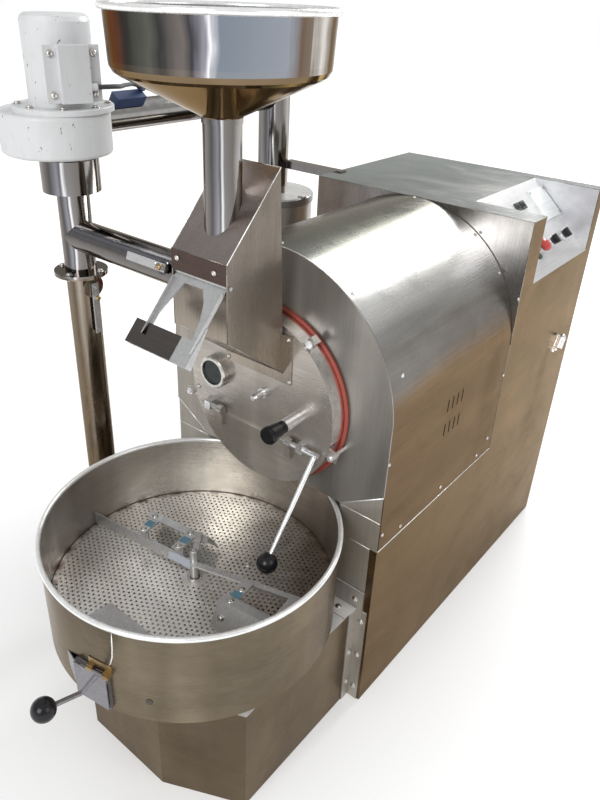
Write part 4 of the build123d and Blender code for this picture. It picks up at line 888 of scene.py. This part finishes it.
class ROASTER_OT_perforated_floor(bpy.types.Operator):
    """Replace the plain tub floor by a sheet with its rows of round holes, its boss and the gate plate"""

    bl_idname = "roaster.perforated_floor"
    bl_label = "Perforated floor"

    def execute(self, context):
        sizes = context.scene.roaster_sizes
        pitch, reach = sizes.hole_pitch, sizes.floor_radius
        column = pitch * math.sqrt(3) / 2
        rim, hub, post_hole = reach - 0.012, 0.030, 0.0125
        mesh = bmesh.new()
        held = {}

        def vert(x, y):
            key = (round(x, 5), round(y, 5))
            if key not in held:
                held[key] = mesh.verts.new((TUB_CENTRE.x + x, TUB_CENTRE.y + y, FLOOR_TOP))
            return held[key]

        corner = pitch / math.sqrt(3)
        ring = []
        for k in range(6):
            a, b = math.radians(60 * k), math.radians(60 * k + 60)
            ring.append((corner * math.cos(a), corner * math.sin(a)))
            ring.append((corner * (math.cos(a) + math.cos(b)) / 2, corner * (math.sin(a) + math.sin(b)) / 2))
        cells = []
        count = int(reach / column) + 1
        rows = int(reach / pitch) + 1
        for i in range(-count, count + 1):
            for j in range(-rows, rows + 1):
                x, y = i * column, (j + 0.5 * (i % 2)) * pitch
                if hub < math.hypot(x, y) < rim:
                    cells.append((x, y, mesh.faces.new([vert(x + dx, y + dy) for dx, dy in ring])))
        edges = [e for e in mesh.edges if len(e.link_faces) == 1]
        for radius, sides in ((reach, 180), (post_hole, 36)):
            loop = [vert(x, y) for x, y in round_points(radius, sides)]
            edges += [mesh.edges.new((loop[k - 1], loop[k])) for k in range(sides)]
        bmesh.ops.triangle_fill(mesh, use_beauty=True, edges=edges, normal=(0, 0, 1))
        hole_ring = round_points(sizes.hole_radius, len(ring))
        for x, y, face in cells:
            outer = list(face.verts)
            mesh.faces.remove(face)
            hole = [vert(x + dx, y + dy) for dx, dy in hole_ring]
            for k in range(len(ring)):
                mesh.faces.new((outer[k - 1], outer[k], hole[k], hole[k - 1]))
        piece = keep_piece("perforated_floor", mesh, "floor", "casing")
        solid = piece.modifiers.new("thickness", "SOLIDIFY")
        solid.thickness = 0.0025
        solid.offset = -1.0
        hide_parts("tub_floor")
        self.boss()
        self.gate_plate()
        return {"FINISHED"}

    def boss(self):
        """The collar round the stirrer's post and a bolt that holds the floor down."""
        mesh = bmesh.new()
        profile = [(0.0105, -0.002), (0.018, -0.002), (0.018, 0.0040), (0.0168, 0.005), (0.0105, 0.005)]
        turned(mesh, profile, Matrix.Translation(TUB_CENTRE + Vector((0, 0, FLOOR_TOP))), 28, closed=True)
        floor_bolt = Vector((0.0697, -0.1586, FLOOR_TOP))
        hex_bolt(mesh, floor_bolt, (0, 0, 1), 0.0055)
        keep_piece("floor_boss", mesh, "bolt", "casing")

    def gate_plate(self):
        """The plain plate that slopes the beans to the gate."""
        inner, outer, reach = 0.087, 0.105, TUB_R - 0.0035
        start, stop = (-math.asin(x / reach) for x in (outer, -outer))
        corners = [TUB_CENTRE + Vector((-inner, -0.190, 0))]
        for k in range(9):
            turn = -math.pi / 2 + start + (stop - start) * k / 8
            corners.append(TUB_CENTRE + Vector((reach * math.cos(turn), reach * math.sin(turn), 0)))
        corners.append(TUB_CENTRE + Vector((inner, -0.190, 0)))
        mesh = bmesh.new()
        prism(mesh, [c + Vector((0, 0, FLOOR_TOP + 0.0012)) for c in corners], 0.0012)
        keep_piece("gate_plate", mesh, "zinc", "casing")


class ROASTER_OT_panel_screws(bpy.types.Operator):
    """Put the pan-head screws on the side panels, the shroud, the chute and the cap"""

    bl_idname = "roaster.panel_screws"
    bl_label = "Panel screws"

    def execute(self, context):
        radius = context.scene.roaster_sizes.screw_radius
        mesh = bmesh.new()
        low_row = [(15, 583), (102, 556), (304, 564), (518, 558), (578, 588)]
        for y, z in [*low_row, (6, 793), (15, 1018), (604, 788), (600, 1020)]:
            for side in (-1, 1):
                screw_head(mesh, (side * SIDE_FACE, y / 1000, z / 1000), (side, 0, 0), radius)
        for y, angles in ((0.020, (54.5, 90.0, 125.5)), (0.595, (35.0, 55.0, 90.0, 125.0, 146.0))):
            for angle in angles:
                screw_head(mesh, *on_arch(angle, y, SIDE_FACE), radius)
        forward, large = (0, -1, 0), 0.0062
        on_flange = [(91.1, 1041.7), (97.7, 937.3), (-92.4, 938.4), (-95.5, 1041.7)]
        on_lip = [(-59.3, 1241.2), (45.7, 1235.4)]
        for x, z in on_flange:
            screw_head(mesh, mm(x, -55.5, z), forward, 0.0055)
        for x, z in on_lip:
            screw_head(mesh, mm(x, -240.0, z), forward, large)
        screw_head(mesh, mm(-203.8, 1000 * CAP_FACE, 810.9), forward, large)
        keep_piece("panel_screws", mesh, "bolt", "casing")
        return {"FINISHED"}


class ROASTER_OT_frame_bolts(bpy.types.Operator):
    """Put the hexagon bolts on the angle irons, the cleats, the flanges and the motor's foot"""

    bl_idname = "roaster.frame_bolts"
    bl_label = "Frame bolts"

    def execute(self, context):
        radius = context.scene.roaster_sizes.bolt_radius
        forward = (0, -1, 0)
        angle_face, angle_front_rows, angle_side_rows = -3, (290, 168, 45), (176, 62)
        cleat = 1000 * TRAY_TOP
        mesh = bmesh.new()
        for side in (-1, 1):
            for z in angle_front_rows:
                hex_bolt(mesh, mm(side * 324, angle_face, z), forward, radius, 0.3)
            for z in angle_side_rows:
                hex_bolt(mesh, mm(side * 308, -16, z), (side, 0, 0), radius, 0.1)
            hex_bolt(mesh, mm(side * 268, -27, cleat + 3), (0, 0, 1), radius, 0.2)
            hex_bolt(mesh, mm(side * 300, angle_face, cleat + 32), forward, radius, 0.5)
        flange_top, flange_low, motor_seat = 1.102, 1.092, MOTOR_FOOT + 0.012
        for x, y in round_points(0.053, 4, 22):
            spin = math.atan2(y, x)
            hex_bolt(mesh, STACK + Vector((x, y, flange_top)), (0, 0, 1), 0.0062, spin)
            hex_bolt(mesh, STACK + Vector((x, y, flange_low)), (0, 0, -1), 0.0062, spin)
        for x, y in round_points(0.097, 8, 10):
            hex_bolt(mesh, STACK + Vector((x, y, motor_seat)), (0, 0, 1), 0.0068, math.atan2(y, x))
        cover = Matrix.Translation(STACK) @ Matrix.Rotation(BOX_TURN, 4, "Z")
        for across in (-0.045, 0.045):
            for z in (1.516, 1.596):
                at = cover @ Vector((0.091, across, z))
                screw_head(mesh, at, cover.to_3x3() @ Vector((1, 0, 0)), 0.0078)
        keep_piece("frame_bolts", mesh, "bolt", "casing")
        return {"FINISHED"}


class ROASTER_OT_folds(bpy.types.Operator):
    """Run beads of painted highlight along the sheet's bends and a dark bead of painted shadow behind the
    arch
    """

    bl_idname = "roaster.folds"
    bl_label = "Folds and seams"

    def execute(self, context):
        radius = context.scene.roaster_sizes.highlight_radius
        brow_rows = (533, 622)
        mesh = bmesh.new()
        faint = bmesh.new()
        for side in (-1, 1):
            edge = [mm(side * 1000 * CHUTE_HALF, y, z) for y, z in CHUTE_SIDE_MM]
            bead(mesh, edge[:2], radius)
            bead(faint, edge[1:3], 0.7 * radius)
            bead(faint, edge[2:], 0.7 * radius)
            corner_low, corner_high = mm(side * 230, 1.0, 628), mm(side * 345, 1.0, 701)
            bead(mesh, [corner_low, corner_high], 1.6 * radius)
            for z in brow_rows:
                bead(mesh, [mm(side * 231, 1.6, z), mm(side * 343, 1.6, z)], 0.9 * radius)
            foot = [Vector((side * SIDE_FACE, y, SHROUD_FOOT)) for y in (0.004, CABINET_FRONT)]
            bead(mesh, foot, 1.2 * radius)
            post = [Vector((side * SIDE_FACE, CABINET_FRONT, z)) for z in (SHROUD_FOOT, CABINET_TOP - 0.001)]
            bead(faint, post, 0.7 * radius)
        for y, z in CHUTE_SIDE_MM[:2]:
            bead(faint, [mm(side * 1000 * CHUTE_HALF, y, z) for side in (-1, 1)], 0.8 * radius)
        front = [on_arch(angle, 0.0015, SIDE_FACE)[0] for angle in range(-8, 189, 4)]
        bead(faint, front, 0.8 * radius)
        bead(faint, [mm(-345, 611, 1225), mm(345, 611, 1225)], 0.8 * radius)
        keep_piece("bright_folds", mesh, "bright", "casing")
        keep_piece("plain_folds", faint, "fold", "casing")
        # Painted shadow: a dark bead in the gap behind the arch
        gap_shadow = bmesh.new()
        back = [on_arch(angle, CABINET_FRONT - 0.0008, SIDE_FACE + 0.0004)[0] for angle in range(0, 181, 4)]
        bead(gap_shadow, back, radius)
        keep_piece("arch_joint", gap_shadow, "dull", "casing")
        return {"FINISHED"}


class ROASTER_OT_rims(bpy.types.Operator):
    """Round the rolled rims of the tub and the hopper smoothly, and paint the shadow in the joint of floor
    and wall with a dark ring
    """

    bl_idname = "roaster.rims"
    bl_label = "Rolled rims"

    def execute(self, context):
        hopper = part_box("hopper")
        feed = Vector(((hopper[0].x + hopper[1].x) / 2, (hopper[0].y + hopper[1].y) / 2, 0.0))
        bead_r = RIM_BEAD + 0.0007
        mesh = bmesh.new()
        # Part polish, part painted highlight: the smooth rims take the bright finish
        self.rolled(mesh, TUB_CENTRE + Vector((0, 0, TUB_RIM - RIM_BEAD)), TUB_R + 0.001, bead_r)
        self.rolled(mesh, feed + Vector((0, 0, hopper[1].z - RIM_BEAD)), hopper[1].x - RIM_BEAD, bead_r)
        keep_piece("rolled_rims", mesh, "bright", "casing")
        # Painted shadow: a dark ring in the joint of floor and wall
        gap_shadow = bmesh.new()
        self.rolled(gap_shadow, TUB_CENTRE + Vector((0, 0, FLOOR_TOP + 0.0006)), TUB_R - 0.0026, 0.0014, 6)
        keep_piece("floor_joint", gap_shadow, "dull", "casing")
        return {"FINISHED"}

    def rolled(self, mesh, centre, radius, bead_r, sides=16):
        """A ring of round section."""
        profile = [(radius + out, rise) for out, rise in round_points(bead_r, sides)]
        turned(mesh, profile, Matrix.Translation(centre), 144, closed=True)


class ROASTER_OT_tub_details(bpy.types.Operator):
    """Put the weld seam and the plug on the tub's wall"""

    bl_idname = "roaster.tub_details"
    bl_label = "Tub details"

    def execute(self, context):
        radius = context.scene.roaster_sizes.weld_radius
        seam = bmesh.new()
        route = [(-71.0, 602), (-71.2, 580), (-71.4, 555), (-71.8, 530), (-72.8, 508), (-74.0, 497)]
        bead(seam, [on_wall(angle, z / 1000) for angle, z in route], radius, 8, 0.3)
        keep_piece("tub_seam", seam, "bright", "casing")
        plug = bmesh.new()
        at = on_wall(-59.5, 0.421)
        out = (at - TUB_CENTRE) * Vector((1, 1, 0))
        profile = [(0, -0.002), (0.0075, -0.002), (0.0075, 0.0012), (0.006, 0.0022), (0, 0.0022)]
        turned(plug, profile, facing(at, out), 20)
        keep_piece("tub_plug", plug, "dull", "casing")
        return {"FINISHED"}


class ROASTER_OT_seal_tail(bpy.types.Operator):
    """Let the loose end of the red cord seal hang below the right stud"""

    bl_idname = "roaster.seal_tail"
    bl_label = "Seal tail"

    def execute(self, context):
        mesh = bmesh.new()
        route = [mm(212, -5, 762), mm(204, -5, 750), mm(194, -6, 737), mm(180, -7, 720), mm(163, -8, 700)]
        bead(mesh, route, 0.0024, 8, 0.25)
        keep_piece("seal_tail", mesh, "silicone", "casing")
        return {"FINISHED"}


class ROASTER_OT_stirrer_fittings(bpy.types.Operator):
    """Put the bolts, their square plates and the film pads on the stirrer"""

    bl_idname = "roaster.stirrer_fittings"
    bl_label = "Stirrer fittings"

    def execute(self, context):
        radius = context.scene.roaster_sizes.bolt_radius
        bolts = bmesh.new()
        up = (0, 0, 1)
        on_bars = [(-178, 64, 503), (-60, 64, 503), (157, -67, 503), (275, -67, 503)]
        on_straps = [(-172, 12, 500), (-58, 12, 500), (157, -22, 500), (275, -38, 500)]
        on_post = (0, 0, 522)
        for x, y, z in (*on_bars, *on_straps, on_post):
            hex_bolt(bolts, STIRRER @ mm(x, y, z), up, radius, 0.01 * x)
        slope = STIRRER.to_3x3() @ Vector((0, -0.849, 0.529))
        hex_bolt(bolts, STIRRER @ mm(152, -98.2, 473), slope, radius)
        for x in (-172, -58):
            plate = [(x - 12, 2), (x + 12, 2), (x + 12, 23), (x - 12, 23)]
            prism(bolts, [STIRRER @ mm(a, b, 501.2) for a, b in plate], 0.0012)
        keep_piece("stirrer_bolts", bolts, "bolt", "stirrer")
        pads = bmesh.new()
        for x, low, high in ((-172, 25, 49), (-58, 26, 50), (157, -52, -30), (275, -53, -44)):
            trim = [(x - 11.5, low), (x + 12.0, low + 1.5), (x + 11.0, high), (x - 12.2, high - 1.0)]
            prism(pads, [STIRRER @ mm(a, b, 500.5) for a, b in trim], 0.0005)
        keep_piece("film_pads", pads, "film", "stirrer")
        peel = bmesh.new()
        trim = [(-92, 447), (-16, 446), (-14, 471), (-58, 474), (-88, 470)]
        prism(peel, [STIRRER @ mm(a, 9.0, b) for a, b in trim], 0.0005)
        keep_piece("scraper_film", peel, "pale_film", "stirrer")
        return {"FINISHED"}


class ROASTER_OT_panel_windows(bpy.types.Operator):
    """Put the dark windows of the two displays and the cover plate's screws on the control panel"""

    bl_idname = "roaster.panel_windows"
    bl_label = "Panel windows"

    def execute(self, context):
        normal = Vector((0.188, 0.0, 0.205)).normalized()
        along = Vector((0, 1, 0))
        place = Matrix((along, normal.cross(along), normal)).transposed().to_4x4()
        place = Matrix.Translation(PANEL_MID) @ place
        window_face, cover_face = 4.6, 6.0
        mesh = bmesh.new()
        for x in (-14, 20):
            corners = [(x - 9, 68), (x + 9, 68), (x + 9, 80), (x - 9, 80)]
            prism(mesh, [place @ mm(a, b, window_face) for a, b in corners], 0.0006)
        keep_piece("display_windows", mesh, "glass", "casing")
        screws = bmesh.new()
        for x in (97, 193):
            for y in (7, 97):
                screw_head(screws, place @ mm(x, y, cover_face), normal, 0.004)
        keep_piece("cover_screws", screws, "bolt", "casing")
        return {"FINISHED"}


class ROASTER_OT_motor_lead(bpy.types.Operator):
    """Lay the motor's lead from its terminal box to the connector on the outlet pipe"""

    bl_idname = "roaster.motor_lead"
    bl_label = "Motor lead"

    def execute(self, context):
        radius = context.scene.roaster_sizes.lead_radius
        data = bpy.data.curves.new("lead", "CURVE")
        data.dimensions = "3D"
        data.bevel_depth = radius
        data.bevel_resolution = 4
        data.use_fill_caps = True
        spline = data.splines.new("NURBS")
        spline.points.add(len(LEAD_ROUTE) - 1)
        for point, at in zip(spline.points, LEAD_ROUTE):
            point.co = (*at, 1.0)
        spline.order_u = 3
        spline.use_endpoint_u = True
        spline.resolution_u = 12
        lead = bpy.data.objects.new("lead", data)
        context.scene.collection.objects.link(lead)
        data.materials.append(finish_of("conduit"))
        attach(lead, "casing")
        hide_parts("motor_lead")
        return {"FINISHED"}


class ROASTER_OT_damper_pins(bpy.types.Operator):
    """Put the brass pin ends on the two damper levers"""

    bl_idname = "roaster.damper_pins"
    bl_label = "Damper pins"

    def execute(self, context):
        tilt = math.radians(20.0)
        out = Vector((0, -math.cos(tilt), math.sin(tilt)))
        dome = [(0, -0.001), (0.0068, -0.001), (0.0068, 0.002), (0.005, 0.0045), (0, 0.0055)]
        branch = bmesh.new()
        turned(branch, dome, facing(mm(-112, -192, 1190) + 0.056 * out, out), 16)
        keep_piece("branch_pin", branch, "brass", "damper_branch")
        stack = bmesh.new()
        turned(stack, dome, facing(mm(-409, -192, 1039), (1, 0, 0)), 16)
        keep_piece("stack_pin", stack, "brass", "damper_stack")
        return {"FINISHED"}


class ROASTER_OT_stage(bpy.types.Operator):
    """Set up the pale floor, the lamps and the photo's camera"""

    bl_idname = "roaster.stage"
    bl_label = "Stage"

    def execute(self, context):
        scene, stage = context.scene, context.scene.roaster_stage
        scene.view_settings.view_transform = "Standard"
        self.floor(scene, stage)
        self.world(scene, stage)
        for name, (at, target, size) in LAMPS.items():
            self.lamp(scene, name + "_lamp", at, target, size, getattr(stage, name))
        self.camera(scene, stage)
        return {"FINISHED"}

    def seen(self, tree):
        """One for rays of the camera, of mirrors and of glass, and nought for the rest."""
        path = add(tree, "LightPath").outputs
        mirrored = sums(tree, "MAXIMUM", path["Is Glossy Ray"], path["Is Transmission Ray"])
        return sums(tree, "MAXIMUM", path["Is Camera Ray"], mirrored)

    def floor(self, scene, stage):
        mesh = bmesh.new()
        bmesh.ops.create_grid(mesh, x_segments=1, y_segments=1, size=30.0)
        data = bpy.data.meshes.new("studio_floor")
        mesh.to_mesh(data)
        mesh.free()
        made, tree, shader = new_material("studio_floor")
        tone = noise(tree, object_place(tree), 0.6, 2.0)
        pale = tuple(stage.floor)
        tint = blend(tree, ramp(tree, tone, 0.3, 0.7, 0.0, 0.3), pale, scaled(pale, 0.97))
        surface(tree, shader, tint, 0.8)
        shader.inputs["Specular IOR Level"].default_value = 0.1
        shader.inputs["Emission Color"].default_value = (1.0, 1.0, 1.0, 1.0)
        apart = add(tree, "VectorMath", {"operation": "LENGTH"}, vector=object_place(tree)).outputs["Value"]
        lift = ramp(tree, apart, 1.2, 5.0, stage.glow, stage.far_glow)
        feed(tree, shader.inputs["Emission Strength"], sums(tree, "MULTIPLY", self.seen(tree), lift))
        data.materials.append(made)
        floor = bpy.data.objects.new("studio_floor", data)
        floor.location.z = -0.0005
        scene.collection.objects.link(floor)

    def world(self, scene, stage):
        sky = bpy.data.worlds.new("studio_sky")
        scene.world = sky
        sky.use_nodes = True
        tree = sky.node_tree
        rise = part_of(tree, add(tree, "TexCoord").outputs["Generated"], "Z")
        white = (1.0, 1.0, 1.0)
        stops = [(0.0, white), (0.10, white), (0.32, (0.62, 0.62, 0.61)), (0.75, (0.95, 0.96, 0.98))]
        tone = tones(tree, rise, stops)
        horizon = sums(tree, "MULTIPLY", self.seen(tree), ramp(tree, rise, 0.05, 0.28, 1.0, 0.0))
        back = tree.nodes["Background"]
        feed(tree, back.inputs["Color"], tone)
        feed(tree, back.inputs["Strength"], ramp(tree, horizon, 0.0, 1.0, stage.world, 1.0))

    def lamp(self, scene, name, at, target, size, power):
        data = bpy.data.lights.new(name, "AREA")
        data.size = size
        data.energy = power
        lamp = bpy.data.objects.new(name, data)
        lamp.location = at
        lamp.rotation_euler = (Vector(target) - Vector(at)).to_track_quat("-Z", "Y").to_euler()
        lamp.visible_camera = False
        scene.collection.objects.link(lamp)

    def camera(self, scene, stage):
        az, el, roll = stage.azimuth, stage.elevation, stage.roll
        back = Vector((math.sin(az) * math.cos(el), -math.cos(az) * math.cos(el), math.sin(el)))
        right = Vector((0, 0, 1)).cross(back).normalized()
        up = back.cross(right)
        tilted_right = math.cos(roll) * right + math.sin(roll) * up
        tilted_up = math.cos(roll) * up - math.sin(roll) * right
        data = bpy.data.cameras.new("photo_camera")
        data.lens = data.sensor_width * stage.focal_pixels / PHOTO_HEIGHT
        data.shift_x = (PHOTO_WIDTH / 2 - stage.centre[0]) / PHOTO_HEIGHT
        data.shift_y = (stage.centre[1] - PHOTO_HEIGHT / 2) / PHOTO_HEIGHT
        data.clip_start, data.clip_end = 0.05, 100.0
        camera = bpy.data.objects.new("photo_camera", data)
        turn = Matrix((tilted_right, tilted_up, back)).transposed().to_4x4()
        camera.matrix_world = Matrix.Translation(Vector(stage.eye)) @ turn
        scene.collection.objects.link(camera)
        scene.camera = camera


class ROASTER_PT_panel(bpy.types.Panel):
    """Lists the roaster's operators"""

    bl_label = "Coffee Roaster"
    bl_idname = "ROASTER_PT_panel"
    bl_space_type = "VIEW_3D"
    bl_region_type = "UI"
    bl_category = "Roaster"

    def draw(self, context):
        for operator in OPERATORS:
            self.layout.operator(operator.bl_idname)


OPERATORS = (
    ROASTER_OT_steelwork,
    ROASTER_OT_tubes,
    ROASTER_OT_small_parts,
    ROASTER_OT_perforated_floor,
    ROASTER_OT_panel_screws,
    ROASTER_OT_frame_bolts,
    ROASTER_OT_folds,
    ROASTER_OT_rims,
    ROASTER_OT_tub_details,
    ROASTER_OT_seal_tail,
    ROASTER_OT_stirrer_fittings,
    ROASTER_OT_panel_windows,
    ROASTER_OT_motor_lead,
    ROASTER_OT_damper_pins,
    ROASTER_OT_stage,
)
GROUPS = {"roaster_finishes": RoasterFinishes, "roaster_sizes": RoasterSizes, "roaster_stage": RoasterStage}


def register():
    for made in (*GROUPS.values(), *OPERATORS, ROASTER_PT_panel):
        bpy.utils.register_class(made)
    for name, group in GROUPS.items():
        setattr(bpy.types.Scene, name, PointerProperty(type=group))


def unregister():
    for name in GROUPS:
        delattr(bpy.types.Scene, name)
    for made in (ROASTER_PT_panel, *reversed(OPERATORS), *GROUPS.values()):
        bpy.utils.unregister_class(made)


def main():
    """Registers the add-on and runs its operators in order."""
    register()
    for operator in OPERATORS:
        group, verb = operator.bl_idname.split(".")
        getattr(getattr(bpy.ops, group), verb)()


if __name__ == "__main__":
    main()
